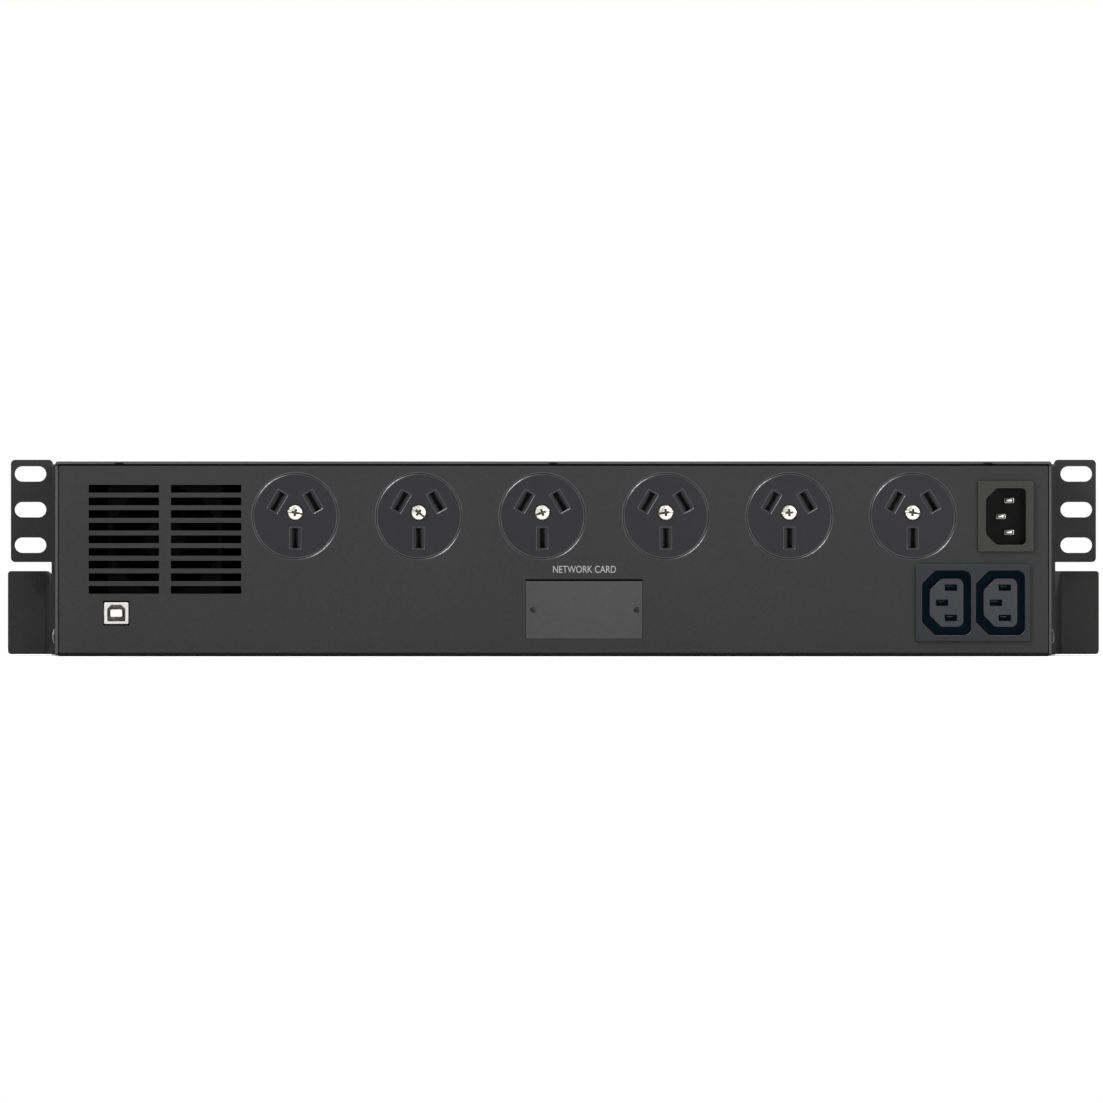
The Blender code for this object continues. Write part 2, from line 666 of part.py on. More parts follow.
def make_dual_outlet(plastic):
    """Two appliance outlets side by side: each is an island with three slots in a moat."""
    centre = (DUAL_X, DUAL_Z)
    y = (FLANGE_FRONT_Y - DUAL_DEPTH, FLANGE_BACK_Y + FLANGE_OVERLAP)
    flange_y = (FLANGE_BACK_Y, FLANGE_FRONT_Y)
    housing = centred_box("dual_outlet_housing", centre, DUAL_FLANGE, flange_y, plastic)
    join(housing, centred_box("dual_body", centre, DUAL_BODY, y))
    slots = [(DUAL_LINE_SHIFT, DUAL_LINE_RISE), (DUAL_LINE_SHIFT, -DUAL_LINE_RISE), (DUAL_EARTH_SHIFT, 0.0)]
    moat_y = (FLANGE_FRONT_Y - DUAL_MOAT_DEPTH, FLANGE_FRONT_Y + PAST)
    for x in DUAL_SOCKETS_X:
        outlines = [keyed_outline((x, DUAL_Z), DUAL_MOAT, DUAL_MOAT_CHAMFER, DUAL_MOAT_CORNER)]
        outlines.append(keyed_outline((x, DUAL_Z), DUAL_ISLAND, DUAL_ISLAND_CHAMFER, DUAL_ISLAND_CORNER))
        outlines += [centred_rectangle((x + dx, DUAL_Z + dz), DUAL_SLOT) for dx, dz in slots]
        cut(housing, plate("socket_moat", outlines, "XZ", *moat_y))


def make_usb(metal, plastic, board):
    """Square data socket: a folded metal shell around a plastic tongue, on a small board."""
    centre = (USB_X, USB_Z)
    back_y = PANEL_FACE_Y - USB_DEPTH
    floor_y = back_y + USB_SHELL_BACK
    shell = centred_box("usb_shell", centre, USB_SHELL, (back_y, PANEL_FACE_Y + USB_PROUD), metal)
    cut(shell, centred_box("usb_inside", centre, USB_OPENING, (floor_y, PANEL_FACE_Y + PAST)))
    tongue = centred_box("usb_tongue", centre, USB_TONGUE, (floor_y + GAP, PANEL_FACE_Y - 0.0010), plastic)
    bevel(tongue, 0.0003, 1)
    top = USB_Z - USB_SHELL[1] / 2 - GAP
    box("comm_board", COMM_BOARD_X, COMM_BOARD_Y, (top - BOARD_THICK, top), board)


def make_card_slot(coat, dark):
    """Blank plate over the accessory slot, and its two screws."""
    outlines = [rectangle(CARD_COVER[:2], CARD_COVER[2:])]
    outlines += [circle((x, CARD_SCREW_Z), CARD_SCREW_HOLE_R, 10) for x in CARD_SCREWS_X]
    plate("slot_cover", outlines, "XZ", PANEL_FACE_Y - SHEET, PANEL_FACE_Y, coat)
    head = CARD_SCREW_HEAD_R
    shank = CARD_SCREW_SHANK_R
    profile = [(0.0, 0.0008), (head * 0.8, 0.0006), (head, 0.0003), (head, 0.0001)]
    profile += [(shank, 0.0001), (shank, -CARD_SCREW_LENGTH), (0.0, -CARD_SCREW_LENGTH)]
    for i, x in enumerate(CARD_SCREWS_X):
        turned(f"slot_screw_{i + 1}", profile, (x, PANEL_FACE_Y, CARD_SCREW_Z), "+Y", 14, dark)


def make_card_bay(zinc):
    """Guide bay behind the accessory slot, open at both ends, with lips for the plate's screws."""
    back_y = PANEL_FACE_Y - SHEET - GAP
    end_y = back_y - CARD_BAY_DEPTH
    wall = CARD_BAY_SHEET
    x = (CARD_OPENING[0] - SHEET, CARD_OPENING[1] + SHEET)
    z = (CARD_OPENING[2] - SHEET, CARD_OPENING[3] + SHEET)
    bay = box("card_bay", x, (end_y, back_y), z, zinc)
    inside_z = (z[0] + wall, z[1] - wall)
    mouth_x = (CARD_OPENING[0] + CARD_BAY_LIP, CARD_OPENING[1] - CARD_BAY_LIP)
    cut(bay, box("bay_mouth", mouth_x, (back_y - PAST, back_y + PAST), inside_z))
    inside_x = (x[0] + wall, x[1] - wall)
    cut(bay, box("bay_hollow", inside_x, (end_y - PAST, back_y - SHEET), inside_z))
    for x_screw in CARD_SCREWS_X:
        hole = pin_profile(CARD_SCREW_SHANK_R + GAP, PAST, -PAST)
        cut(bay, turned("bay_screw_hole", hole, (x_screw, back_y, CARD_SCREW_Z), "+Y", 10))


def make_fan_bracket(zinc):
    """Upright plate that carries the fan, with its bore open."""
    reach = FAN_SIZE / 2 + FAN_BRACKET_EDGE
    outlines = [rectangle((FAN_X - reach, FAN_X + reach), (SHEET + GAP, FAN_Z + FAN_SIZE / 2 + 0.003))]
    outlines.append(circle((FAN_X, FAN_Z), FAN_BORE_R, 32))
    back_y = FAN_FRONT_Y - GAP
    plate("fan_bracket", outlines, "XZ", back_y - SHEET, back_y, zinc)


def make_fan_frame(plastic):
    """Square frame with a round bore, and a hub support on three struts."""
    half = FAN_SIZE / 2
    outlines = [rounded_rectangle((FAN_X - half, FAN_X + half), (FAN_Z - half, FAN_Z + half), FAN_CORNER)]
    outlines.append(circle((FAN_X, FAN_Z), FAN_BORE_R, 40))
    frame = plate("fan_frame", outlines, "XZ", FAN_FRONT_Y, FAN_BACK_Y, plastic)
    place = (FAN_X, FAN_FRONT_Y + 0.0001, FAN_Z)
    support = pin_profile(FAN_HUB_R, FAN_SUPPORT, 0.0)
    join(frame, turned("fan_hub_support", support, place, "+Y", 24))
    width, thick = FAN_STRUT
    y = FAN_FRONT_Y + 0.0002
    reach = (FAN_HUB_R + FAN_BORE_R) / 2
    for i in range(3):
        angle = math.radians(90 + 120 * i)
        size = (FAN_BORE_R - FAN_HUB_R + 0.002, width)
        strut = centred_box("fan_strut", (0.0, 0.0), size, (y, y + thick))
        strut.location[0] = FAN_X + reach * math.cos(angle)
        strut.location[2] = FAN_Z + reach * math.sin(angle)
        strut.rotation_euler[1] = -angle
        join(frame, strut)


def make_fan_rotor(plastic):
    """Hub with seven pitched blades."""
    low = FAN_FRONT_Y + 0.0030
    high = FAN_BACK_Y - 0.0008
    middle = (low + high) / 2
    reach = (high - low) / 2
    edge = 0.0010
    profile = [(0.0, reach), (FAN_HUB_R - edge, reach), (FAN_HUB_R, reach - edge)]
    profile += [(FAN_HUB_R, -reach), (0.0, -reach)]
    rotor = turned("fan_rotor", profile, (FAN_X, middle, FAN_Z), "+Y", 28, plastic)
    length = FAN_BLADE_TIP_R - FAN_HUB_R + 0.0015
    x = (-length / 2, length / 2)
    y = (-FAN_BLADE_HALF_CHORD, FAN_BLADE_HALF_CHORD)
    z = (-FAN_BLADE_HALF_THICK, FAN_BLADE_HALF_THICK)
    hub = Matrix.Translation((FAN_X, middle, FAN_Z))
    shift = Matrix.Translation((FAN_BLADE_TIP_R - length / 2, 0.0, 0.0))
    pitch = Matrix.Rotation(FAN_BLADE_PITCH, 4, "X")
    for i in range(FAN_BLADES):
        outwards = Matrix.Rotation(-2 * math.pi * i / FAN_BLADES, 4, "Y")
        blade = box("fan_blade", x, y, z)
        blade.matrix_world = hub @ outwards @ shift @ pitch
        join(rotor, blade)


def make_transformer(core_steel, winding):
    """Laminated core with two windows, and the winding on its middle leg."""
    outlines = [rectangle(CORE_X, CORE_Z)]
    outlines += [rectangle(window_x, CORE_WINDOW_Z) for window_x in CORE_WINDOWS_X]
    plate("transformer_core", outlines, "XZ", *CORE_Y, core_steel)
    outlines = [rounded_rectangle(WINDING_X, WINDING_Y, WINDING_CORNER)]
    outlines.append(rectangle(WINDING_BORE_X, WINDING_BORE_Y))
    clear = 0.0005
    plate("transformer_winding", outlines, "XY", CORE_WINDOW_Z[0] + clear, CORE_WINDOW_Z[1] - clear, winding)


def make_heat_sink(aluminium):
    """Comb of upright fins on a thick base."""
    base, root, tip = HEAT_SINK_Z
    left, right = HEAT_SINK_X
    pitch = (right - left) / (HEAT_SINK_FINS - 0.5)
    comb = [(left, base), (right, base), (right, tip)]
    for i in range(HEAT_SINK_FINS - 1):
        fin_left = right - pitch * (i + 0.5)
        next_right = right - pitch * (i + 1)
        comb += [(fin_left, tip), (fin_left, root), (next_right, root), (next_right, tip)]
    comb.append((left, tip))
    plate("heat_sink", [comb], "XZ", *HEAT_SINK_Y, aluminium)


def make_power_stage(made):
    """Transformer, boards, heat sink and capacitors inside the chassis."""
    make_transformer(made["core_steel"], made["winding"])
    box("main_board", MAIN_BOARD_X, MAIN_BOARD_Y, BOARD_Z, made["circuit_board"])
    box("power_board", POWER_BOARD_X, POWER_BOARD_Y, BOARD_Z, made["circuit_board"])
    make_heat_sink(made["heat_sink_metal"])
    radius, height = CAPACITOR
    edge = 0.0010
    can = [(0.0, height), (radius - edge, height), (radius, height - edge), (radius, 0.0), (0.0, 0.0)]
    for i, x in enumerate(CAPACITORS_X):
        place = (x, CAPACITOR_Y, CAPACITOR_FOOT_Z)
        smooth(turned(f"capacitor_{i + 1}", can, place, "+Z", 24, made["capacitor_sleeve"]))


def make_battery_tray(steel):
    floor_top = DRAWER_FLOOR_Z + SHEET
    tray = box("battery_tray", DRAWER_X, DRAWER_Y, (DRAWER_FLOOR_Z, DRAWER_WALL_Z), steel)
    x = (DRAWER_X[0] + SHEET, DRAWER_X[1] - SHEET)
    y = (DRAWER_Y[0] + SHEET, DRAWER_Y[1] - SHEET)
    cut(tray, box("tray_inside", x, y, (floor_top, DRAWER_WALL_Z + PAST)))


def make_batteries(plastic):
    """Two sealed batteries standing side by side in the tray."""
    middle_x = (DRAWER_X[0] + DRAWER_X[1]) / 2
    bottom = DRAWER_FLOOR_Z + SHEET + GAP
    y = (BATTERY_FRONT_Y, BATTERY_FRONT_Y + BATTERY[1])
    for i, side in enumerate((-1, 1)):
        inner = middle_x + side * BATTERY_HALF_GAP
        x = sorted((inner, inner + side * BATTERY[0]))
        battery = box(f"battery_{i + 1}", x, y, (bottom, bottom + BATTERY[2]), plastic)
        bevel(battery, 0.0015)


def make_drawer_front(plastic):
    """Hollow front of the drawer, with a pocket for the fingers low in its face."""
    y = (DRAWER_FRONT_Y, BEZEL_BACK_Y)
    front = box("drawer_front", DRAWER_FRONT_X, y, DRAWER_FRONT_Z, plastic)
    hollow_x = (DRAWER_FRONT_X[0] + BEZEL_WALL, DRAWER_FRONT_X[1] - BEZEL_WALL)
    hollow_z = (DRAWER_FRONT_Z[0] + BEZEL_WALL, DRAWER_FRONT_Z[1] - BEZEL_WALL)
    cut(front, box("front_hollow", hollow_x, (y[0] + BEZEL_WALL, y[1] + PAST), hollow_z))
    pocket_x = (GRIP_X[0] - GRIP_WALL, GRIP_X[1] + GRIP_WALL)
    pocket_z = (GRIP_Z[0] - GRIP_WALL, GRIP_Z[1] + GRIP_WALL)
    join(front, box("grip_wall", pocket_x, (y[0] + 0.0005, y[0] + GRIP_DEPTH + GRIP_WALL), pocket_z))
    cut(front, box("grip_pocket", GRIP_X, (y[0] - PAST, y[0] + GRIP_DEPTH), GRIP_Z))


def make_battery_drawer(made):
    """A sliding tray with two batteries, its front, the plug at its back, and what it runs against."""
    make_battery_tray(made["zinc_sheet"])
    make_batteries(made["battery_case"])
    make_drawer_front(made["bezel_plastic"])
    box("battery_plug", PLUG_X, PLUG_Y, PLUG_Z, made["bezel_plastic"])
    box("battery_socket", SOCKET_X, SOCKET_Y, SOCKET_Z, made["inlet_plastic"])
    box("divider_wall", DIVIDER_X, DIVIDER_Y, (SHEET + GAP, DIVIDER_TOP_Z), made["zinc_sheet"])


def make_bezel(plastic):
    """Hollow front bezel with the drawer's mouth cut through it."""
    width = (-BEZEL_HALF_WIDTH, BEZEL_HALF_WIDTH)
    y = (-OVERALL_HALF_DEPTH, BEZEL_BACK_Y)
    bezel = box("front_bezel", width, y, BEZEL_Z, plastic)
    bevel(bezel, BEZEL_EDGE, 2)
    hollow_x = (width[0] + BEZEL_WALL, width[1] - BEZEL_WALL)
    hollow_z = (BEZEL_Z[0] + BEZEL_WALL, BEZEL_Z[1] - BEZEL_WALL)
    cut(bezel, box("bezel_hollow", hollow_x, (y[0] + BEZEL_WALL, y[1] + PAST), hollow_z))
    mouth_x = (DRAWER_FRONT_X[0] - MOUTH_GAP, DRAWER_FRONT_X[1] + MOUTH_GAP)
    mouth_z = (DRAWER_FRONT_Z[0] - MOUTH_GAP, DRAWER_FRONT_Z[1] + MOUTH_GAP)
    rib_x = (mouth_x[0] - BEZEL_WALL, mouth_x[0])
    rib_z = (BEZEL_Z[0] + 0.0004, BEZEL_Z[1] - 0.0004)
    join(bezel, box("bezel_rib", rib_x, (y[0] + 0.001, y[1]), rib_z))
    cut(bezel, box("drawer_mouth", mouth_x, (y[0] - PAST, y[1] + PAST), mouth_z))
    return bezel


def make_display(bezel, glass, board):
    """Window let into the bezel, and the board behind it."""
    face = -OVERALL_HALF_DEPTH
    opening_x = (DISPLAY_X[0] - GAP, DISPLAY_X[1] + GAP)
    opening_z = (DISPLAY_Z[0] - GAP, DISPLAY_Z[1] + GAP)
    cut(bezel, box("window_opening", opening_x, (face - PAST, face + PAST), opening_z))
    y = (face + 0.0004, face + 0.0004 + WINDOW_THICK)
    bevel(box("display_window", DISPLAY_X, y, DISPLAY_Z, glass), 0.0003, 1)
    box("display_board", DISPLAY_BOARD_X, DISPLAY_BOARD_Y, DISPLAY_BOARD_Z, board)


def make_power_button(bezel, plastic):
    """Round button with a flange behind the bezel's wall."""
    radius = POWER_BUTTON_R
    place = (POWER_BUTTON_X, -OVERALL_HALF_DEPTH, POWER_BUTTON_Z)
    hole = pin_profile(radius + KEY_GAP, PAST, -PAST)
    cut(bezel, turned("button_hole", hole, place, "-Y", 32))
    flange = -BEZEL_WALL - GAP
    wide = radius + BUTTON_FLANGE
    cap = [(0.0, -0.0006), (radius - 0.0008, -0.0004), (radius, -0.0012), (radius, flange)]
    cap += [(wide, flange), (wide, flange - BUTTON_FLANGE), (0.0, flange - BUTTON_FLANGE)]
    smooth(turned("power_button", cap, place, "-Y", 32, plastic))


def make_menu_keys(bezel, plastic):
    """Three oblong keys in a row, each with a flange behind the bezel's wall."""
    face = -OVERALL_HALF_DEPTH
    flange_y = face + BEZEL_WALL + GAP
    for i, x in enumerate(KEYS_X):
        centre = (x, KEY_Z)
        cut(bezel, centred_box("key_hole", centre, grown(KEY_SIZE, KEY_GAP), (face - PAST, face + PAST)))
        key = centred_box(f"menu_key_{i + 1}", centre, KEY_SIZE, (face + 0.0005, face + 0.0040), plastic)
        bevel(key, 0.0004)
        flange_size = grown(KEY_SIZE, BUTTON_FLANGE)
        join(key, centred_box("key_flange", centre, flange_size, (flange_y, flange_y + BUTTON_FLANGE)))


def make_front(made):
    """Front bezel with its display, power button and menu keys."""
    bezel = make_bezel(made["bezel_plastic"])
    make_display(bezel, made["display_glass"], made["circuit_board"])
    make_power_button(bezel, made["button_plastic"])
    make_menu_keys(bezel, made["button_plastic"])


def build():
    clear_scene()
    made = make_materials()
    make_base_pan(made["powder_coat"])
    make_top_cover(made["powder_coat"])
    make_rear_panel(made["powder_coat"])
    make_rack_bracket("rack_bracket_left", 1, made["powder_coat"])
    make_rack_bracket("rack_bracket_right", -1, made["powder_coat"])
    make_bracket_screws(made["dark_screw"])
    make_outlets(made["outlet_plastic"], made["bright_screw"])
    make_inlet(made["inlet_plastic"], made["contact_metal"])
    make_dual_outlet(made["inlet_plastic"])
    make_usb(made["contact_metal"], made["usb_plastic"], made["circuit_board"])
    make_card_slot(made["cover_plate_coat"], made["dark_screw"])
    make_card_bay(made["zinc_sheet"])
    make_fan_bracket(made["zinc_sheet"])
    make_fan_frame(made["fan_plastic"])
    make_fan_rotor(made["fan_plastic"])
    make_power_stage(made)
    make_battery_drawer(made)
    make_front(made)
    bpy.context.view_layer.update()


build()
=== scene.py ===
import json
import math

import bmesh
import bpy
from mathutils import Matrix, Vector


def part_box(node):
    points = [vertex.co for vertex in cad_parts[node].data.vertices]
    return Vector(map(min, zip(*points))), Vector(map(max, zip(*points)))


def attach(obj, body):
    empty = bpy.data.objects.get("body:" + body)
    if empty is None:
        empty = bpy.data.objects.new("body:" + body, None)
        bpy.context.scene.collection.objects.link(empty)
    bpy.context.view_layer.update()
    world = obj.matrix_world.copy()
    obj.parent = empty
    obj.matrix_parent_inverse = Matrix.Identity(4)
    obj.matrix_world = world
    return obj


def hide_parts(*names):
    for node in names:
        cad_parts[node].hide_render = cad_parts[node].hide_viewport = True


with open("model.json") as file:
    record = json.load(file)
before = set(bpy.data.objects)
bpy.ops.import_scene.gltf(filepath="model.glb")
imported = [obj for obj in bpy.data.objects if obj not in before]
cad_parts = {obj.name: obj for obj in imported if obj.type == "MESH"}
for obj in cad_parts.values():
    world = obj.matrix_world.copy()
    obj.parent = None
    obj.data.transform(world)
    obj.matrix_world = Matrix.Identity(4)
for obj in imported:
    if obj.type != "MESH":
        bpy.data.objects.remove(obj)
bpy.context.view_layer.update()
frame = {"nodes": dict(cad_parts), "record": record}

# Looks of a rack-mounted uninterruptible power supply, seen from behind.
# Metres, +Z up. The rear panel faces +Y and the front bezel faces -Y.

# The sides of the object: sign of x, name, and the direction they face
SIDES = ((1, "left", "+X"), (-1, "right", "-X"))

# Shared sheet and edge sizes
SHEET = 0.0012
SHEET_EDGE = 0.00015
SHEET_CORNER = 0.0006
GAP = 0.0003
SMOOTH_ANGLE = math.radians(32)
RING_STEPS = 64

# Painted edge highlights: faces tilted between the two cosines take a glossy metal finish that shows the key
# light as bright lines, and the chamfer that gives them
SHEEN_SHARP = math.radians(18)
SHEEN_TILT = (math.cos(math.radians(35)), math.cos(math.radians(18)))
EDGE_WIDTH = 0.00045
EDGE_DROP = 0.00022

# Rear panel
PANEL_FACE_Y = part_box("rear_panel")[1][1]
VENT_COLUMNS_X = (0.18885, 0.15270)
VENT_WIDTH = 0.0309
VENT_HEIGHT = 0.0034
VENT_TOP_Z = 0.0733
VENT_PITCH = 0.00556
VENT_ROWS = 9
OUTLET_COUNT = 6
OUTLET_HOLE_R = 0.01890
PANEL_BOTTOM_Z = 0.0011
USB_CUTOUT = (0.0115, 0.0108)
CARD_OPENING = (-0.0392, 0.0122, 0.0072, 0.0335)
INLET_CUTOUT = (0.0213, 0.0287)
DUAL_CUTOUT = (0.0476, 0.0312)
CUTOUT_CORNER = 0.001
FLANGE_BACK_Y = PANEL_FACE_Y + GAP

# Turns an object's own +Z to the named direction
TURNS = {
    "+Z": Matrix.Identity(4),
    "-Z": Matrix.Rotation(math.radians(180), 4, "X"),
    "+Y": Matrix.Rotation(math.radians(-90), 4, "X"),
    "-Y": Matrix.Rotation(math.radians(90), 4, "X"),
    "+X": Matrix.Rotation(math.radians(90), 4, "Y"),
    "-X": Matrix.Rotation(math.radians(-90), 4, "Y"),
}

# An outline's (u, v) becomes the two named axes
PLANES = {
    "XZ": TURNS["-Y"],
    "YZ": Matrix(((0, 0, 1, 0), (1, 0, 0, 0), (0, 1, 0, 0), (0, 0, 0, 1))),
    "XY": TURNS["+Z"],
}
ACROSS = {"XZ": 1, "YZ": 0, "XY": 2}


# ---------------------------------------------------------------- outlines

def arc(centre, radius, start, end, steps):
    angles = [math.radians(start + (end - start) * i / steps) for i in range(steps + 1)]
    return [(centre[0] + radius * math.cos(a), centre[1] + radius * math.sin(a)) for a in angles]


def circle(centre, radius, steps=96):
    return arc(centre, radius, 0, 360, steps)[:-1]


def rounded(u, v, radii, steps=8):
    """A rectangle; radii are those of its lower left, lower right, upper right and upper left."""
    if not isinstance(radii, (tuple, list)):
        radii = (radii,) * 4
    corners = ((u[0], v[0]), (u[1], v[0]), (u[1], v[1]), (u[0], v[1]))
    inward = ((1, 1), (-1, 1), (-1, -1), (1, -1))
    points = []
    for i, ((x, y), (dx, dy), radius) in enumerate(zip(corners, inward, radii)):
        if radius <= 0:
            points.append((x, y))
        else:
            points += arc((x + dx * radius, y + dy * radius), radius, 180 + 90 * i, 270 + 90 * i, steps)
    return points


def centred(centre, size, radius=0.0):
    u = (centre[0] - size[0] / 2, centre[0] + size[0] / 2)
    v = (centre[1] - size[1] / 2, centre[1] + size[1] / 2)
    return rounded(u, v, radius)


def turned_outline(points, centre, angle):
    c, s = math.cos(angle), math.sin(angle)
    return [(centre[0] + c * u - s * v, centre[1] + s * u + c * v) for u, v in points]


def obround(centre, length, height, steps=16):
    radius = height / 2
    reach = length / 2 - radius
    points = arc((centre[0] + reach, centre[1]), radius, -90, 90, steps)
    return points + arc((centre[0] - reach, centre[1]), radius, 90, 270, steps)


def keyed(centre, size, chamfer, corner, steps=8):
    """An appliance connector's outline: two chamfers at +u and two round corners at -u."""
    left, right = centre[0] - size[0] / 2, centre[0] + size[0] / 2
    low, high = centre[1] - size[1] / 2, centre[1] + size[1] / 2
    points = arc((left + corner, low + corner), corner, 180, 270, steps)
    ease = 0.0007
    points += [(right - chamfer - ease, low), (right - chamfer + ease * 0.7, low + ease * 0.3)]
    points += [(right - ease * 0.3, low + chamfer - ease * 0.7), (right, low + chamfer + ease)]
    points += [(right, high - chamfer - ease), (right - ease * 0.3, high - chamfer + ease * 0.7)]
    points += [(right - chamfer + ease * 0.7, high - ease * 0.3), (right - chamfer - ease, high)]
    return points + arc((left + corner, high - corner), corner, 90, 180, steps)


def mirrored(outline, side):
    return [(side * u, v) for u, v in outline]


# ---------------------------------------------------------------- solids

def link(name, mesh, material):
    item = bpy.data.objects.new(name, mesh)
    bpy.context.scene.collection.objects.link(item)
    if material is not None:
        mesh.materials.clear()
        mesh.materials.append(material)
    return item


def link_material(item, material):
    item.data.materials.clear()
    item.data.materials.append(material)


def give_second_look(piece, look, test):
    """Adds a material to a piece, for the faces that pass the test."""
    piece.data.materials.append(MATERIALS[look])
    for face in piece.data.polygons:
        if test(face):
            face.material_index = 1


def finish_mesh(mesh):
    """Welds a mesh, faces it outwards and shades it smooth up to the sharp-edge angle."""
    shape = bmesh.new()
    shape.from_mesh(mesh)
    bmesh.ops.remove_doubles(shape, verts=shape.verts, dist=0.000001)
    bmesh.ops.recalc_face_normals(shape, faces=shape.faces)
    shape.to_mesh(mesh)
    shape.free()
    mesh.shade_smooth()
    mesh.set_sharp_from_angle(angle=SMOOTH_ANGLE)
    return mesh


def evaluated_mesh(item):
    bpy.context.view_layer.update()
    graph = bpy.context.evaluated_depsgraph_get()
    return bpy.data.meshes.new_from_object(item.evaluated_get(graph))


def placed(name, shape, turn, material):
    """Makes a built shape into an object, turned and moved by the matrix."""
    mesh = bpy.data.meshes.new(name)
    shape.to_mesh(mesh)
    shape.free()
    mesh.transform(turn)
    return link(name, finish_mesh(mesh), material)


def plate(name, outlines, plane, low, high, material=None, rim=0.0, rim_steps=2):
    """A plate between two values across its plane, with rims rounded by rim; inner outlines are holes."""
    curve = bpy.data.curves.new(name, "CURVE")
    curve.dimensions = "2D"
    curve.fill_mode = "BOTH"
    curve.extrude = (high - low) / 2 - rim
    curve.bevel_depth = rim
    curve.bevel_resolution = rim_steps
    curve.offset = -rim
    for outline in outlines:
        spline = curve.splines.new("POLY")
        spline.points.add(len(outline) - 1)
        spline.use_cyclic_u = True
        for point, (u, v) in zip(spline.points, outline):
            point.co = (u, v, 0.0, 1.0)
    flat = bpy.data.objects.new(name + "_curve", curve)
    bpy.context.scene.collection.objects.link(flat)
    mesh = evaluated_mesh(flat)
    bpy.data.objects.remove(flat, do_unlink=True)
    shift = Vector((0.0, 0.0, 0.0))
    shift[ACROSS[plane]] = (low + high) / 2
    mesh.transform(Matrix.Translation(shift) @ PLANES[plane])
    return link(name, finish_mesh(mesh), material)


def lathe(name, profile, place, direction, material=None, steps=64):
    """A turned solid from (radius, height) points that run from the top's centre to the base's centre."""
    shape = bmesh.new()
    rings = []
    for radius, height in profile:
        if radius == 0.0:
            rings.append([shape.verts.new((0.0, 0.0, height))])
        else:
            rings.append([shape.verts.new((x, y, height)) for x, y in circle((0.0, 0.0), radius, steps)])
    for upper, lower in zip(rings, rings[1:]):
        for i in range(steps):
            j = (i + 1) % steps
            corners = [ring[k % len(ring)] for ring, k in ((upper, i), (lower, i), (lower, j), (upper, j))]
            unique = list(dict.fromkeys(corners))
            if len(unique) > 2:
                shape.faces.new(unique)
    return placed(name, shape, Matrix.Translation(place) @ TURNS[direction], material)


def ring_cutter(profile, turn):
    """A turned ring from a closed (radius, height) loop."""
    shape = bmesh.new()
    loops = [[shape.verts.new((x, y, height)) for x, y in circle((0.0, 0.0), radius, RING_STEPS)]
             for radius, height in profile]
    for a in range(len(loops)):
        b = (a + 1) % len(loops)
        for i in range(RING_STEPS):
            j = (i + 1) % RING_STEPS
            shape.faces.new((loops[a][i], loops[b][i], loops[b][j], loops[a][j]))
    return placed("ring", shape, turn, None)


def block(name, x, y, z, material=None):
    return plate(name, [rounded(x, z, 0.0)], "XZ", y[0], y[1], material)


def soft_block(name, x, y, z, corner, rim, material=None, plane="XZ"):
    """A box whose four edges across the plane have radius corner and whose rims have radius rim."""
    ranges = {"X": x, "Y": y, "Z": z}
    low, high = ranges["XYZ"[ACROSS[plane]]]
    outline = rounded(ranges[plane[0]], ranges[plane[1]], corner)
    return plate(name, [outline], plane, low, high, material, rim)


def carve(target, others, operation="DIFFERENCE"):
    """Cuts the other solids out of the target, or joins them to it, and removes them."""
    for other in others:
        step = target.modifiers.new("carve", "BOOLEAN")
        step.operation = operation
        step.solver = "EXACT"
        step.object = other
    mesh = evaluated_mesh(target)
    target.modifiers.clear()
    target.data = mesh
    for other in others:
        bpy.data.objects.remove(other, do_unlink=True)
    finish_mesh(mesh)
    return target


def join(target, others):
    return carve(target, others, "UNION")


def soften(target, width, segments=2, angle=35):
    """Rounds every edge sharper than the angle, in degrees."""
    step = target.modifiers.new("soften", "BEVEL")
    step.width = width
    step.segments = segments
    step.limit_method = "ANGLE"
    step.angle_limit = math.radians(angle)
    step.use_clamp_overlap = True
    step.harden_normals = False
    mesh = evaluated_mesh(target)
    target.modifiers.clear()
    target.data = mesh
    mesh.shade_smooth()
    mesh.set_sharp_from_angle(angle=SMOOTH_ANGLE)
    return target


def merge(name, items, material=None):
    """Gathers separate solids into one piece."""
    shape = bmesh.new()
    for item in items:
        copy = item.data.copy()
        copy.transform(item.matrix_world)
        shape.from_mesh(copy)
        bpy.data.meshes.remove(copy)
    mesh = bpy.data.meshes.new(name)
    shape.to_mesh(mesh)
    shape.free()
    for item in items:
        bpy.data.objects.remove(item, do_unlink=True)
    mesh.shade_smooth()
    mesh.set_sharp_from_angle(angle=SMOOTH_ANGLE)
    return link(name, mesh, material)


def tapered(name, lower, upper, low, high):
    """A solid whose outline in the XZ plane changes evenly from lower, at low, to upper, at high."""
    shape = bmesh.new()
    near = [shape.verts.new((u, low, v)) for u, v in lower]
    far = [shape.verts.new((u, high, v)) for u, v in upper]
    for i in range(len(near)):
        j = (i + 1) % len(near)
        shape.faces.new((near[i], near[j], far[j], far[i]))
    shape.faces.new(near)
    shape.faces.new(far)
    return placed(name, shape, Matrix.Identity(4), None)


def paint_edge_highlights(piece):
    """Gives the narrow chamfers around a piece's rear face a glossy metal finish: a painted highlight that
    catches the key light as thin bright lines, on plastic and paint alike.
    """
    piece.data.set_sharp_from_angle(angle=SHEEN_SHARP)
    give_second_look(piece, "sheen", lambda face: SHEEN_TILT[0] < face.normal.y < SHEEN_TILT[1])


def body_of(node):
    for body, nodes in frame["record"]["behaviour"]["bodies"].items():
        if node in nodes:
            return body
    raise ValueError(node)


def even_shading(piece):
    """Keeps each large face's own direction, so that its rounded edges spread no gradient over it."""
    step = piece.modifiers.new("even_shading", "WEIGHTED_NORMAL")
    step.keep_sharp = True
    step.weight = 100


def stand_for(piece, node):
    """The piece takes the place of one CAD node, on the node's own body."""
    even_shading(piece)
    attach(piece, body_of(node))
    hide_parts(node)
    return piece


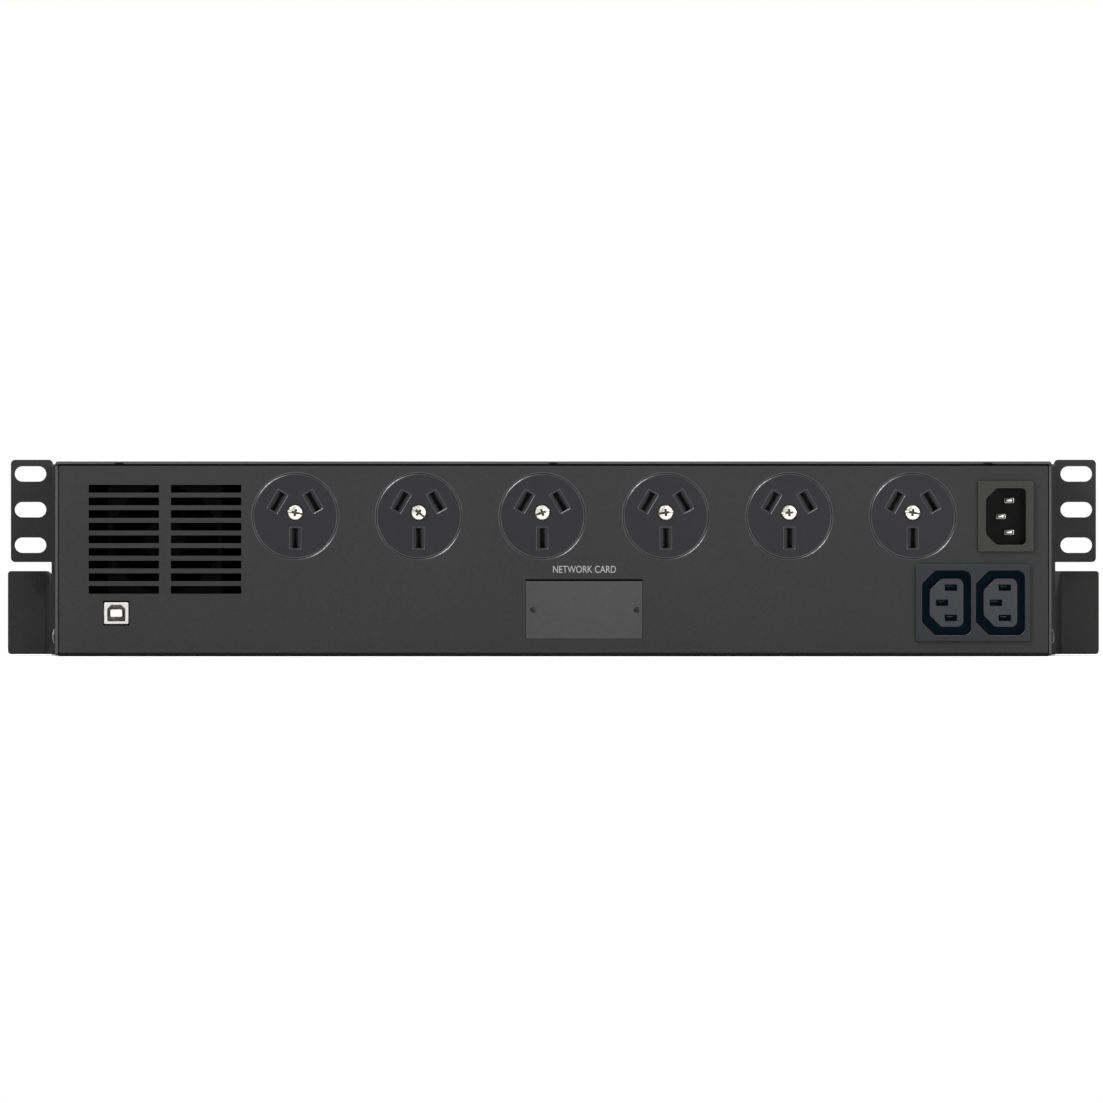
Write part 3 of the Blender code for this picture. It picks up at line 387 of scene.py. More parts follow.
def add_trim(piece, body):
    """The piece is an extra that no CAD node stands for."""
    even_shading(piece)
    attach(piece, body)
    return piece


def middle(node):
    low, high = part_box(node)
    return [(a + b) / 2 for a, b in zip(low, high)]


def middle_xz(node):
    x, _, z = middle(node)
    return x, z


def face_outline(low, high, corner, inset=0.0, steps=8):
    """The outline of a box as it is seen from the front or the rear."""
    return rounded((low[0] + inset, high[0] - inset), (low[2] + inset, high[2] - inset), corner, steps)


# ---------------------------------------------------------------- materials

EVEN = (1.0, 1.0, 1.0)

# Colour sockets of a mix node
MIX_FIRST = 6
MIX_SECOND = 7
MIX_RESULT = 2


def new_material(name):
    material = bpy.data.materials.new(name)
    material.use_nodes = True
    tree = material.node_tree
    return material, tree, tree.nodes["Principled BSDF"]


def place_texture(tree, stretch=EVEN):
    """Object coordinates in metres, optionally stretched along an axis."""
    coordinates = tree.nodes.new("ShaderNodeTexCoord")
    mapping = tree.nodes.new("ShaderNodeMapping")
    mapping.inputs["Scale"].default_value = stretch
    tree.links.new(coordinates.outputs["Object"], mapping.inputs["Vector"])
    return mapping.outputs["Vector"]


def noise(tree, vector, scale, detail=3.0, roughness=0.5):
    node = tree.nodes.new("ShaderNodeTexNoise")
    node.inputs["Scale"].default_value = scale
    node.inputs["Detail"].default_value = detail
    node.inputs["Roughness"].default_value = roughness
    tree.links.new(vector, node.inputs["Vector"])
    return node.outputs["Fac"]


def spread(tree, value, low, high, start=0.3, end=0.7):
    """Maps a noise value's middle range to low..high."""
    node = tree.nodes.new("ShaderNodeMapRange")
    node.inputs["From Min"].default_value = start
    node.inputs["From Max"].default_value = end
    node.inputs["To Min"].default_value = low
    node.inputs["To Max"].default_value = high
    tree.links.new(value, node.inputs["Value"])
    return node.outputs["Result"]


def blend_colours(tree, factor, first, second):
    node = tree.nodes.new("ShaderNodeMix")
    node.data_type = "RGBA"
    node.inputs[MIX_FIRST].default_value = (*first, 1.0)
    node.inputs[MIX_SECOND].default_value = (*second, 1.0)
    tree.links.new(factor, node.inputs["Factor"])
    return node.outputs[MIX_RESULT]


def bump(tree, shader, height, distance, strength=1.0):
    node = tree.nodes.new("ShaderNodeBump")
    node.inputs["Distance"].default_value = distance
    node.inputs["Strength"].default_value = strength
    tree.links.new(height, node.inputs["Height"])
    tree.links.new(node.outputs["Normal"], shader.inputs["Normal"])


def shade(colour, factor):
    return tuple(min(1.0, channel * factor) for channel in colour)


def mottled(tree, value, colour, amount):
    """A colour that a noise value makes darker and lighter by the amount."""
    darker, lighter = shade(colour, 1 - amount), shade(colour, 1 + amount)
    return blend_colours(tree, spread(tree, value, 0.0, 1.0), darker, lighter)


def powder_coat(name, colour, roughness=0.55, specular=0.4, speckle=0.16):
    """Fine textured paint: small bumps, a darker and lighter speckle, and slow unevenness."""
    material, tree, shader = new_material(name)
    vector = place_texture(tree)
    fine = noise(tree, vector, 1500.0, 2.0)
    grain = noise(tree, vector, 700.0, 3.0, 0.6)
    slow = noise(tree, vector, 14.0, 2.0)
    tone = mottled(tree, grain, colour, speckle)
    unevenness = blend_colours(tree, spread(tree, slow, 0.0, 1.0), (0.93,) * 3, (1.07,) * 3)
    drift = tree.nodes.new("ShaderNodeMix")
    drift.data_type = "RGBA"
    drift.blend_type = "MULTIPLY"
    drift.inputs["Factor"].default_value = 1.0
    tree.links.new(tone, drift.inputs[MIX_FIRST])
    tree.links.new(unevenness, drift.inputs[MIX_SECOND])
    tree.links.new(drift.outputs[MIX_RESULT], shader.inputs["Base Color"])
    tree.links.new(spread(tree, grain, roughness - 0.08, roughness + 0.08), shader.inputs["Roughness"])
    shader.inputs["Specular IOR Level"].default_value = specular
    bump(tree, shader, fine, 0.00006, 0.8)
    return material


def moulded_plastic(name, colour, roughness, specular=0.5, texture=0.00002, tint=EVEN, scale=1800.0):
    """Injection-moulded plastic: a fine spark texture, soft mottling and uneven gloss."""
    material, tree, shader = new_material(name)
    vector = place_texture(tree)
    fine = noise(tree, vector, scale, 2.0)
    mottle = noise(tree, vector, 420.0, 3.0)
    tree.links.new(mottled(tree, mottle, colour, 0.06), shader.inputs["Base Color"])
    tree.links.new(spread(tree, mottle, roughness * 0.95, roughness * 1.05), shader.inputs["Roughness"])
    shader.inputs["Specular IOR Level"].default_value = specular
    shader.inputs["Specular Tint"].default_value = (*tint, 1.0)
    bump(tree, shader, fine, texture, 0.7)
    return material


def metal(name, colour, roughness, stretch=EVEN, scale=900.0, stains=0.12):
    """Bare or plated metal with a drawn or rolled grain and slight staining."""
    material, tree, shader = new_material(name)
    grain = noise(tree, place_texture(tree, stretch), scale, 4.0, 0.6)
    stain = noise(tree, place_texture(tree), 260.0, 3.0)
    tree.links.new(mottled(tree, stain, colour, stains), shader.inputs["Base Color"])
    tree.links.new(spread(tree, grain, roughness * 0.75, roughness * 1.3), shader.inputs["Roughness"])
    shader.inputs["Metallic"].default_value = 1.0
    bump(tree, shader, grain, 0.00001, 0.5)
    return material


def circuit_board(name):
    """Green solder mask over copper tracks that run at right angles."""
    material, tree, shader = new_material(name)
    vector = place_texture(tree)
    tracks = tree.nodes.new("ShaderNodeTexBrick")
    tracks.inputs["Scale"].default_value = 260.0
    tracks.inputs["Mortar Size"].default_value = 0.035
    tracks.inputs["Color1"].default_value = (0.006, 0.060, 0.022, 1.0)
    tracks.inputs["Color2"].default_value = (0.009, 0.080, 0.030, 1.0)
    tracks.inputs["Mortar"].default_value = (0.020, 0.150, 0.060, 1.0)
    tree.links.new(vector, tracks.inputs["Vector"])
    tree.links.new(tracks.outputs["Color"], shader.inputs["Base Color"])
    tree.links.new(spread(tree, noise(tree, vector, 200.0), 0.25, 0.45), shader.inputs["Roughness"])
    bump(tree, shader, tracks.outputs["Fac"], 0.00003, 0.6)
    return material


def banded(name, axis, wave, tones, gloss, metallic, relief):
    """Straight ridges across an axis; gloss is the noise scale and the range of the roughness."""
    material, tree, shader = new_material(name)
    vector = place_texture(tree)
    bands = tree.nodes.new("ShaderNodeTexWave")
    bands.bands_direction = axis
    bands.inputs["Scale"].default_value, bands.inputs["Distortion"].default_value = wave
    tree.links.new(vector, bands.inputs["Vector"])
    tree.links.new(blend_colours(tree, bands.outputs["Fac"], *tones), shader.inputs["Base Color"])
    tree.links.new(spread(tree, noise(tree, vector, gloss[0]), *gloss[1:]), shader.inputs["Roughness"])
    shader.inputs["Metallic"].default_value = metallic
    bump(tree, shader, bands.outputs["Fac"], *relief)
    return material


def wound_copper(name):
    """Enamelled wire laid in close turns, under amber varnish."""
    tones = ((0.150, 0.045, 0.012), (0.480, 0.180, 0.050))
    return banded(name, "Z", (200.0, 0.6), tones, (300.0, 0.28, 0.42), 0.6, (0.0004, 0.8))


def laminated_steel(name):
    """Edges of a stack of thin varnished sheets."""
    tones = ((0.030, 0.028, 0.027), (0.120, 0.115, 0.110))
    return banded(name, "Y", (320.0, 0.0), tones, (150.0, 0.4, 0.6), 0.7, (0.0002, 0.7))


def make_materials():
    return {
        "panel": powder_coat("panel_coat", (0.0168, 0.0168, 0.0168), 0.55, 0.27),
        "cover": powder_coat("cover_coat", (0.0200, 0.0200, 0.0200), 0.52, 0.32),
        "cover_edge": powder_coat("cover_cut_edge", (0.0420, 0.0420, 0.0420), 0.50, 0.40),
        # black coat darker than the panel's: partly its own black, partly painted shade for the dark line
        # under the rear panel
        "pan": powder_coat("base_pan_coat_and_painted_shade", (0.0060, 0.0060, 0.0060), 0.55, 0.18),
        "bracket": powder_coat("bracket_coat", (0.0180, 0.0180, 0.0180), 0.55, 0.28),
        "blank": powder_coat("blank_plate_coat", (0.0385, 0.0385, 0.0385), 0.50, 0.34, 0.10),
        # near-black coat on inner sheet parts seen through the vents and the card slot's gap: painted shade
        # of the chassis's inside
        "interior_painted_shade": powder_coat("near_black_painted_shade_coat", (0.0008, 0.0008, 0.0008), 0.70, 0.02, 0.3),
        # darker copy of the screw metal for the heads' cut slot and cross: painted shade
        "recess_painted_shade": metal("recess_painted_shade", (0.130, 0.108, 0.080), 0.55),
        # tin darkened far below bare metal: partly painted shade deep in the socket slots
        "contact": metal("contact_tin_and_painted_shade", (0.080, 0.080, 0.082), 0.45),
        "usb_inside": metal("usb_inside_metal", (0.50, 0.50, 0.50), 0.50),
        # glossy metal on narrow chamfers: a painted highlight, not wear
        "sheen": metal("edge_sheen", (0.085, 0.085, 0.085), 0.36),
        "zinc": metal("zinc_sheet", (0.50, 0.51, 0.51), 0.42, EVEN, 300.0, 0.05),
        "bright_screw": metal("bright_screw", (0.93, 0.88, 0.78), 0.30, EVEN, 1500.0),
        "dark_screw": metal("dark_screw", (0.030, 0.030, 0.031), 0.34),
        "outlet": moulded_plastic("outlet_plastic", (0.0125, 0.0125, 0.0142), 0.42, 0.23),
        "slot_dark": moulded_plastic("contact_well", (0.003, 0.003, 0.003), 0.6, 0.1),
        "inlet": moulded_plastic("inlet_plastic", (0.0185, 0.0185, 0.0172), 0.38, 0.32),
        # the inlet's black plastic darkened far below the flange's: painted shade in the deep cavity
        "inlet_cup": moulded_plastic("inlet_cup_plastic_and_painted_shade", (0.0006, 0.0006, 0.0007), 0.22, 0.14, 0.00001),
        "dual": moulded_plastic("dual_plastic", (0.0135, 0.0155, 0.0180), 0.32, 0.25, 0.00001),
        "dual_island": moulded_plastic("dual_island_plastic", (0.0205, 0.0225, 0.0265), 0.32, 0.33, 0.00001),
        # bluish plastic darkened far below the flange's: partly its own colour, partly painted shade in the
        # deep moats
        "dual_moat": moulded_plastic("dual_moat_plastic_and_painted_shade", (0.0010, 0.0034, 0.0080), 0.18, 0.16, 0.00001,
                                     (0.30, 0.60, 1.0)),
        "pin": metal("contact_pin", (0.74, 0.73, 0.70), 0.22, (1.0, 8.0, 1.0), 400.0),
        "usb_shell": metal("usb_shell_metal", (0.62, 0.615, 0.60), 0.45, (1.0, 8.0, 1.0), 300.0, 0.05),
        "usb_tongue": moulded_plastic("usb_tongue_plastic", (0.80, 0.80, 0.77), 0.45),
        "gold": metal("contact_gold", (0.85, 0.62, 0.25), 0.25),
        # black plastic made darker still and almost without reflection: partly the fan's own black, partly
        # painted shade inside the chassis
        "fan": moulded_plastic("fan_plastic", (0.0008, 0.0008, 0.0008), 0.55, 0.02),
        "core": laminated_steel("core_laminations"),
        "winding": wound_copper("winding_wire"),
        "board": circuit_board("circuit_board"),
        # black anodised metal darkened further: partly painted shade inside the chassis, seen through the
        # vents
        "heat_sink": metal("heat_sink_anodised_and_painted_shade", (0.006, 0.006, 0.006), 0.45, (1.0, 1.0, 12.0), 220.0),
        "capacitor": moulded_plastic("capacitor_sleeve", (0.010, 0.016, 0.050), 0.24, 0.5, 0.000005),
        "battery": moulded_plastic("battery_case", (0.055, 0.057, 0.060), 0.55, 0.4, 0.00003),
        "terminal": metal("terminal_tin", (0.78, 0.77, 0.74), 0.3),
        "bezel": moulded_plastic("bezel_plastic", (0.016, 0.016, 0.0175), 0.46, 0.45, 0.00004, scale=1400.0),
        "button": moulded_plastic("button_plastic", (0.080, 0.082, 0.088), 0.42, 0.5, 0.00003),
        "print": moulded_plastic("printed_ink", (0.31, 0.31, 0.31), 0.6, 0.3),
        "lamp": moulded_plastic("lamp_lens", (0.10, 0.42, 0.14), 0.18, 0.5, 0.000004),
    }


# ---------------------------------------------------------------- chassis sheet metal

PAN_FLANGE_Z = (0.0002, 0.0140)
PAN_SLOT = (0.0300, 0.0028)
PAN_SLOT_ROWS_X = (-0.1500, -0.1100)
PAN_SLOT_START_Y = 0.0200
PAN_SLOT_PITCH = 0.0060
PAN_SLOT_COUNT = 9
TRAY_OPENING_TOP_Z = 0.0745
CABLE_OPENING = (-0.0600, -0.0400, 0.0400, 0.0500)
COVER_EDGE = 0.0002
COVER_BEND = 0.0011
COVER_FOLD = 0.0004
COVER_HOOK = (0.0040, 0.0014)
COVER_HOOKS_X = (-0.1909, 0.0, 0.1909)
COVER_RELIEFS_Z = ((0.0832, 0.0841), (-0.001, 0.0007))
COVER_SCREWS_Y = (0.0150, 0.0750, 0.1350)
COVER_SCREW_Z = 0.0085


def vent_outlines():
    rows = [VENT_TOP_Z - VENT_PITCH * row for row in range(VENT_ROWS)]
    return [centred((x, z), (VENT_WIDTH, VENT_HEIGHT), 0.0003) for x in VENT_COLUMNS_X for z in rows]


def make_rear_panel(coat):
    """Punched rear sheet; a shallow flare with a painted highlight finish runs around each outlet's hole."""
    low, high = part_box("rear_panel")
    outlines = [rounded((low[0], high[0]), (PANEL_BOTTOM_Z, high[2]), SHEET_CORNER)]
    outlines += vent_outlines()
    outlines.append(centred(middle_xz("usb_shell"), USB_CUTOUT, 0.0003))
    outlines.append(rounded(CARD_OPENING[:2], CARD_OPENING[2:], 0.0004))
    outlines.append(centred(middle_xz("inlet_housing"), INLET_CUTOUT, CUTOUT_CORNER))
    outlines.append(centred(middle_xz("dual_outlet_housing"), DUAL_CUTOUT, CUTOUT_CORNER))
    panel = plate("rear_panel_sheet", outlines, "XZ", low[1], high[1], coat, SHEET_EDGE)
    flare_r = OUTLET_HOLE_R + EDGE_WIDTH
    profile = [(0.0, 0.002), (flare_r + EDGE_WIDTH, 0.002), (flare_r + 0.00005, 0.0), (flare_r, 0.0)]
    profile += [(OUTLET_HOLE_R, -EDGE_DROP), (OUTLET_HOLE_R, -0.004), (0.0, -0.004)]
    holes = []
    for i in range(OUTLET_COUNT):
        x, z = middle_xz(f"outlet_{i + 1}")
        holes.append(lathe("outlet_hole", profile, (x, high[1], z), "+Y", None, OUTLET_STEPS))
    carve(panel, holes)
    # painted edge highlights on the panel's flares and rims
    paint_edge_highlights(panel)
    stand_for(panel, "rear_panel")


def make_base_pan(coat):
    """Floor with two rows of slots, front wall with two openings, and side flanges."""
    low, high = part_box("base_pan")
    x = (low[0], high[0])
    outline = rounded(x, (low[1], PANEL_FACE_Y - SHEET - GAP), SHEET_CORNER)
    floor = plate("base_pan_sheet", [outline], "XY", low[2], SHEET, None, COVER_EDGE)
    tray_low, tray_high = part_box("battery_tray")
    wall = [rounded(x, (PAN_FLANGE_Z[0], high[2]), 0.0)]
    tray_x = (tray_low[0] - SHEET, tray_high[0] + SHEET)
    wall.append(rounded(tray_x, (tray_low[2] - GAP, TRAY_OPENING_TOP_Z), 0.0005))
    wall.append(rounded(CABLE_OPENING[:2], CABLE_OPENING[2:], 0.0030))
    parts = [plate("front_wall", wall, "XZ", low[1], low[1] + SHEET)]
    for side in (-1, 1):
        flange = sorted((side * high[0], side * (high[0] - SHEET)))
        parts.append(block("side_flange", flange, (low[1] + 0.0002, PANEL_FACE_Y - 0.0016), PAN_FLANGE_Z))
    join(floor, parts)
    cuts = []
    for row_x in PAN_SLOT_ROWS_X:
        for i in range(PAN_SLOT_COUNT):
            slot = obround((row_x, PAN_SLOT_START_Y + PAN_SLOT_PITCH * i), *PAN_SLOT, 8)
            cuts.append(plate("floor_slot", [slot], "XY", -0.001, 0.003))
    carve(floor, cuts)
    link_material(floor, coat)
    stand_for(floor, "base_pan")


def make_top_cover(coat):
    """Folded cover: rounded bends, three half-round hooks in the rear edge, relief cuts at the corners."""
    low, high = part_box("top_cover")
    outer, inner = high[0], high[0] - SHEET
    top, under = high[2], high[2] - SHEET
    bend, fold = COVER_BEND, COVER_FOLD
    outline = [(-outer, low[2]), (-inner, low[2])]
    outline += arc((-inner + fold, under - fold), fold, 180, 90, 3)
    outline += arc((inner - fold, under - fold), fold, 90, 0, 3)
    outline += [(inner, low[2]), (outer, low[2])]
    outline += arc((outer - bend, top - bend), bend, 0, 90, 8)
    outline += arc((-outer + bend, top - bend), bend, 90, 180, 8)
    cover = plate("top_cover_sheet", [outline], "XZ", low[1], high[1], coat, COVER_EDGE)
    cuts = []
    for x in COVER_HOOKS_X:
        hook = obround((x, under), *COVER_HOOK)
        cuts.append(plate("hook_cut", [hook], "XZ", high[1] - 0.0035, high[1] + 0.001))
    for side in (-1, 1):
        x = sorted((side * (inner - 0.0003), side * (outer + 0.001)))
        for z in COVER_RELIEFS_Z:
            cuts.append(block("relief_cut", x, (high[1] - 0.0015, high[1] + 0.001), z))
    carve(cover, cuts)
    give_second_look(cover, "cover_edge",
                     lambda face: face.normal.y > 0.95 and face.center.y > high[1] - 0.0005)
    stand_for(cover, "top_cover")


def cross_recess(place, direction, reach, depth):
    """Two crossed bars that cut a cross into a screw's head."""
    bar = centred((0, 0), (reach * 2, reach * 0.42), reach * 0.08)
    bars = []
    for angle in (0, 90):
        item = plate("bar", [turned_outline(bar, (0, 0), math.radians(angle))], "XY", -depth, 0.002)
        item.data.transform(Matrix.Translation(place) @ TURNS[direction])
        bars.append(item)
    return bars


def pan_screw(name, place, direction, head_r, rise, shank_r=None, shank=0.003):
    """Dark pan-head screw with a cross recess."""
    shank_r = shank_r or head_r * 0.5
    edge = head_r * 0.14
    profile = [(0.0, rise)]
    for i in range(1, 9):
        t = i / 8
        profile.append((head_r * 0.86 * t, rise * (1 - 0.28 * t * t)))
    profile += [(head_r - edge * 0.2, rise * 0.52), (head_r, rise * 0.32), (head_r, 0.0)]
    profile += [(shank_r, 0.0), (shank_r, -shank), (0.0, -shank)]
    screw = lathe(name, profile, place, direction, MATERIALS["dark_screw"], 40)
    top = Vector(place) + TURNS[direction] @ Vector((0, 0, rise))
    carve(screw, cross_recess(top, direction, head_r * 0.52, rise * 0.75))
    return soften(screw, head_r * 0.03, 1, 40)


def make_cover_screws():
    """Screws that hold the cover to the base pan's flanges, low on each side."""
    half_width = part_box("top_cover")[1][0]
    for side, label, direction in SIDES:
        for i, y in enumerate(COVER_SCREWS_Y):
            place = (side * half_width, y, COVER_SCREW_Z)
            screw = pan_screw(f"cover_screw_{label}_{i + 1}", place, direction, 0.0031, 0.0013)
            add_trim(screw, "chassis")


# ---------------------------------------------------------------- rack brackets

BRACKET_SHEET = 0.0030
BRACKET_TOP_Z = 0.0844
BRACKET_OUTER_X = 0.2223
EAR_BOTTOM_Z = 0.0410
EAR_TOP_Z = 0.0865
EAR_CORNER = 0.0019
EAR_STEP_X = 0.2226
EAR_STEP_Z = BRACKET_TOP_Z - 0.0008
RACK_HOLE_X = 0.23255
RACK_HOLE_Z = (0.0802, 0.0643, 0.0485)
RACK_HOLE = (0.0140, 0.0068)
EAR_OUTER_X = 0.2413
EAR_Y = (-0.1230, -0.1200)
TAB_INNER_X = 0.2262
TAB_OUTER_X = 0.2428
TAB_TOP_Z = 0.0370
TAB_CORNER = 0.0014
TAB_BACK_Y = -0.1390
BRACKET_SCREWS = ((-0.1050, 0.0200), (-0.1050, 0.0650), (-0.0400, 0.0425))
BRACKET_SINK = [(0.0, 0.001), (0.0045, 0.001), (0.0045, 0.0), (0.0023, -0.0024),
                (0.0023, -0.005), (0.0, -0.005)]
WEB_EASE = [(0.2190, 0.0375), (0.2255, 0.0375), (0.2225, 0.0352), (0.2190, 0.0340)]


def bracket_side_plate(side, inner, back_y):
    """The long plate against the chassis side, with its rear corners rounded."""
    outline = rounded((EAR_Y[0], back_y), (0.0, BRACKET_TOP_Z), (0.0, 0.0015, 0.0015, 0.0))
    x = sorted((side * inner, side * BRACKET_OUTER_X))
    return plate("side_plate", [outline], "YZ", x[0], x[1])


def bracket_ear(side, inner):
    """Slotted ear whose foot steps down to the side plate's top."""
    corners = (0.0, EAR_CORNER, EAR_CORNER, EAR_CORNER)
    ear = rounded((EAR_STEP_X, EAR_OUTER_X), (EAR_BOTTOM_Z, EAR_TOP_Z), corners)[1:]
    ear = [(inner, EAR_BOTTOM_Z)] + ear + [(EAR_STEP_X, EAR_STEP_Z), (inner, EAR_STEP_Z)]
    outlines = [ear] + [obround((RACK_HOLE_X, z), *RACK_HOLE) for z in RACK_HOLE_Z]
    return plate("ear", [mirrored(outline, side) for outline in outlines], "XZ", *EAR_Y)


def bracket_tab(side, inner):
    """Inclined web and pull tab, folded from the lower part of the bracket."""
    front = TAB_BACK_Y - BRACKET_SHEET
    back = EAR_Y[1] + 0.0006
    lean = (TAB_INNER_X - BRACKET_OUTER_X) / (EAR_Y[1] - TAB_BACK_Y)
    web_front_x = TAB_INNER_X - BRACKET_SHEET + lean * BRACKET_SHEET
    root_x, tip_x = inner + 0.0002, TAB_INNER_X + 0.004
    web = [(BRACKET_OUTER_X - 0.0004, back), (TAB_INNER_X, TAB_BACK_Y), (tip_x, TAB_BACK_Y), (tip_x, front)]
    web += [(web_front_x + 0.0006, front), (web_front_x, front + 0.0006)]
    web += [(root_x, EAR_Y[0] + 0.0004), (root_x, back)]
    web = plate("web", [mirrored(web, side)], "XY", 0.0, TAB_TOP_Z)
    corners = (0.0, TAB_CORNER, TAB_CORNER, 0.0)
    outline = rounded((TAB_INNER_X + 0.002, TAB_OUTER_X), (0.0, TAB_TOP_Z), corners)
    flat = plate("tab", [mirrored(outline, side)], "XZ", front, TAB_BACK_Y)
    return join(web, [flat])


def make_bracket(side, label, direction, coat):
    """Side plate, ear and pull tab in one sheet, held by three countersunk screws."""
    node = f"rack_bracket_{label}"
    inner = BRACKET_OUTER_X - BRACKET_SHEET
    bracket = bracket_side_plate(side, inner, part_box(node)[1][1])
    join(bracket, [bracket_ear(side, inner + 0.0006), bracket_tab(side, inner)])
    places = [(side * BRACKET_OUTER_X, y, z) for y, z in BRACKET_SCREWS]
    cuts = [lathe("countersink", BRACKET_SINK, place, direction, None, 40) for place in places]
    if side > 0:
        cuts.append(plate("web_ease", [WEB_EASE], "XZ", TAB_BACK_Y - 0.008, EAR_Y[1] - 0.001))
    carve(bracket, cuts)
    soften(bracket, 0.00035, 2, 30)
    link_material(bracket, coat)
    bracket.name = node + "_sheet"
    stand_for(bracket, node)
    for i, place in enumerate(places):
        make_countersunk_screw(f"bracket_screw_{label}_{i + 1}", place, direction)


def make_countersunk_screw(node, place, direction):
    profile = [(0.0, -0.00015), (0.0036, -0.00015), (0.0041, -0.0003), (0.0042, -0.00045)]
    profile += [(0.0020, -0.0024), (0.0020, -0.0088), (0.0, -0.0088)]
    screw = lathe(node + "_body", profile, place, direction, None, 48)
    carve(screw, cross_recess(place, direction, 0.0021, 0.0016))
    soften(screw, 0.00012, 1, 40)
    link_material(screw, MATERIALS["dark_screw"])
    stand_for(screw, node)


# ---------------------------------------------------------------- round outlets

OUTLET_RIM_R = 0.0186
OUTLET_FACE_RISE = 0.00005
OUTLET_RIM_DEPTH = 0.0016
OUTLET_BASE_R = 0.0200
OUTLET_STEPS = 96
PIN_SLOT = (0.0024, 0.0087)
PIN_FRAME = (0.0054, 0.0100)
PIN_FRAME_EDGE = 0.00028
ACTIVE_OFFSET = (0.0078, 0.0064)
ACTIVE_LEAN = math.radians(30)
EARTH_DROP = 0.0097
OUTLET_SCREW_RISE = 0.0015
OUTLET_SCREW_R = 0.0034

# Each screw's turn in degrees, and the size, angle and floor height of each cut in its head
SCREW_TURNS = (12, 38, -20, -8, -4, 10)
SCREW_RECESSES = (((0.0072, 0.0010), 0.0, 0.0003), ((0.0032, 0.0011), 0.0, -0.0006),
                  ((0.0032, 0.0011), 90.0, -0.0006))


def pin_places(centre):
    """Middle and lean of the active, neutral and earth openings of one outlet."""
    places = []
    for side in (-1, 1):
        x, z = centre[0] + side * ACTIVE_OFFSET[0], centre[1] + ACTIVE_OFFSET[1]
        places.append((x, z, side * ACTIVE_LEAN))
    return places + [(centre[0], centre[1] - EARTH_DROP, 0.0)]


def make_outlet(index):
    """Round socket: a flat face with a painted-highlight edge, three framed pin openings and a screw well."""
    node = f"outlet_{index}"
    centre = middle_xz(node)
    face_y = PANEL_FACE_Y + OUTLET_FACE_RISE
    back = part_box(node)[0][1] - face_y
    profile = [(0.0, 0.0), (OUTLET_RIM_R - EDGE_WIDTH, 0.0), (OUTLET_RIM_R, -EDGE_DROP)]
    profile += [(OUTLET_RIM_R, -OUTLET_RIM_DEPTH), (OUTLET_BASE_R, -OUTLET_RIM_DEPTH)]
    profile += [(OUTLET_BASE_R, back + 0.001), (OUTLET_BASE_R - 0.001, back), (0.0, back)]
    outlet = lathe(node + "_body", profile, (centre[0], face_y, centre[1]), "+Y", None, OUTLET_STEPS)
    cuts = []
    edge = PIN_FRAME_EDGE
    for x, z, lean in pin_places(centre):
        frames = []
        for grow in (-2 * edge, 2 * edge):
            frame_outline = centred((0, 0), (PIN_FRAME[0] + grow, PIN_FRAME[1] + grow), 0.0005)
            frames.append(turned_outline(frame_outline, (x, z), lean))
        cuts.append(tapered("frame_cut", *frames, face_y - edge / 2, face_y + edge / 2))
        slot = turned_outline(centred((0, 0), PIN_SLOT, 0.0003), (x, z), lean)
        cuts.append(plate("slot_cut", [slot], "XZ", face_y - 0.0140, face_y + 0.001))
    screw_place = Vector((centre[0], face_y, centre[1] + OUTLET_SCREW_RISE))
    well_r = OUTLET_SCREW_R + 0.0003
    well = [(0.0, 0.002), (well_r, 0.002), (well_r, -0.0008)]
    well += [(0.0018, -0.0008), (0.0018, -0.0120), (0.0, -0.0120)]
    cuts.append(lathe("well_cut", well, screw_place, "+Y", None, 48))
    carve(outlet, cuts)
    link_material(outlet, MATERIALS["outlet"])
    # painted edge highlights on the outlet's rim and pin frames
    paint_edge_highlights(outlet)
    stand_for(outlet, node)
    make_outlet_contacts(index, centre, face_y)
    make_outlet_screw(index, screw_place)


def make_outlet_contacts(index, centre, face_y):
    """Paired contact leaves set deep in the three openings."""
    leaves = []
    for x, z, lean in pin_places(centre):
        for offset in (-0.00085, 0.00085):
            leaf = turned_outline(centred((offset, 0), (0.0005, 0.0074), 0.0001), (x, z), lean)
            leaves.append(plate("leaf", [leaf], "XZ", face_y - 0.0138, face_y - 0.0115))
    contacts = merge(f"outlet_contacts_{index}", leaves, MATERIALS["contact"])
    add_trim(contacts, "chassis")


def make_outlet_screw(index, place):
    """Bright domed screw with a combined slot and cross, turned a little differently in each outlet."""
    node = f"outlet_screw_{index}"
    r = OUTLET_SCREW_R
    crown = 0.00125
    profile = [(0.0, crown)] + [(r * t, crown - 0.00042 * t * t) for t in (0.2, 0.4, 0.6, 0.75, 0.86)]
    profile += [(r * 0.94, 0.0006), (r * 0.985, 0.0003), (r, 0.0), (r, -0.0005)]
    profile += [(0.0015, -0.0005), (0.0015, -0.0108), (0.0, -0.0108)]
    screw = lathe(node + "_head", profile, place, "+Y", None, 56)
    cuts = []
    for size, angle, floor in SCREW_RECESSES:
        turn = math.radians(SCREW_TURNS[index - 1]) + math.radians(angle)
        outline = turned_outline(centred((0, 0), size, 0.0001), (place[0], place[2]), turn)
        cuts.append(plate("recess", [outline], "XZ", place[1] + floor, place[1] + 0.004))
    carve(screw, cuts)
    soften(screw, 0.00008, 2, 40)
    link_material(screw, MATERIALS["bright_screw"])

    def in_recess(face):
        outwards = face.center - place
        reach = math.hypot(outwards.x, outwards.z)
        return -0.0008 < outwards.y < 0.00112 - 0.05 * reach * reach / r and reach < r * 0.80

    # the faces inside the cut slot and cross take a darker metal: painted shade in the recesses
    give_second_look(screw, "recess_painted_shade", in_recess)
    stand_for(screw, node)


# ---------------------------------------------------------------- mains inlet

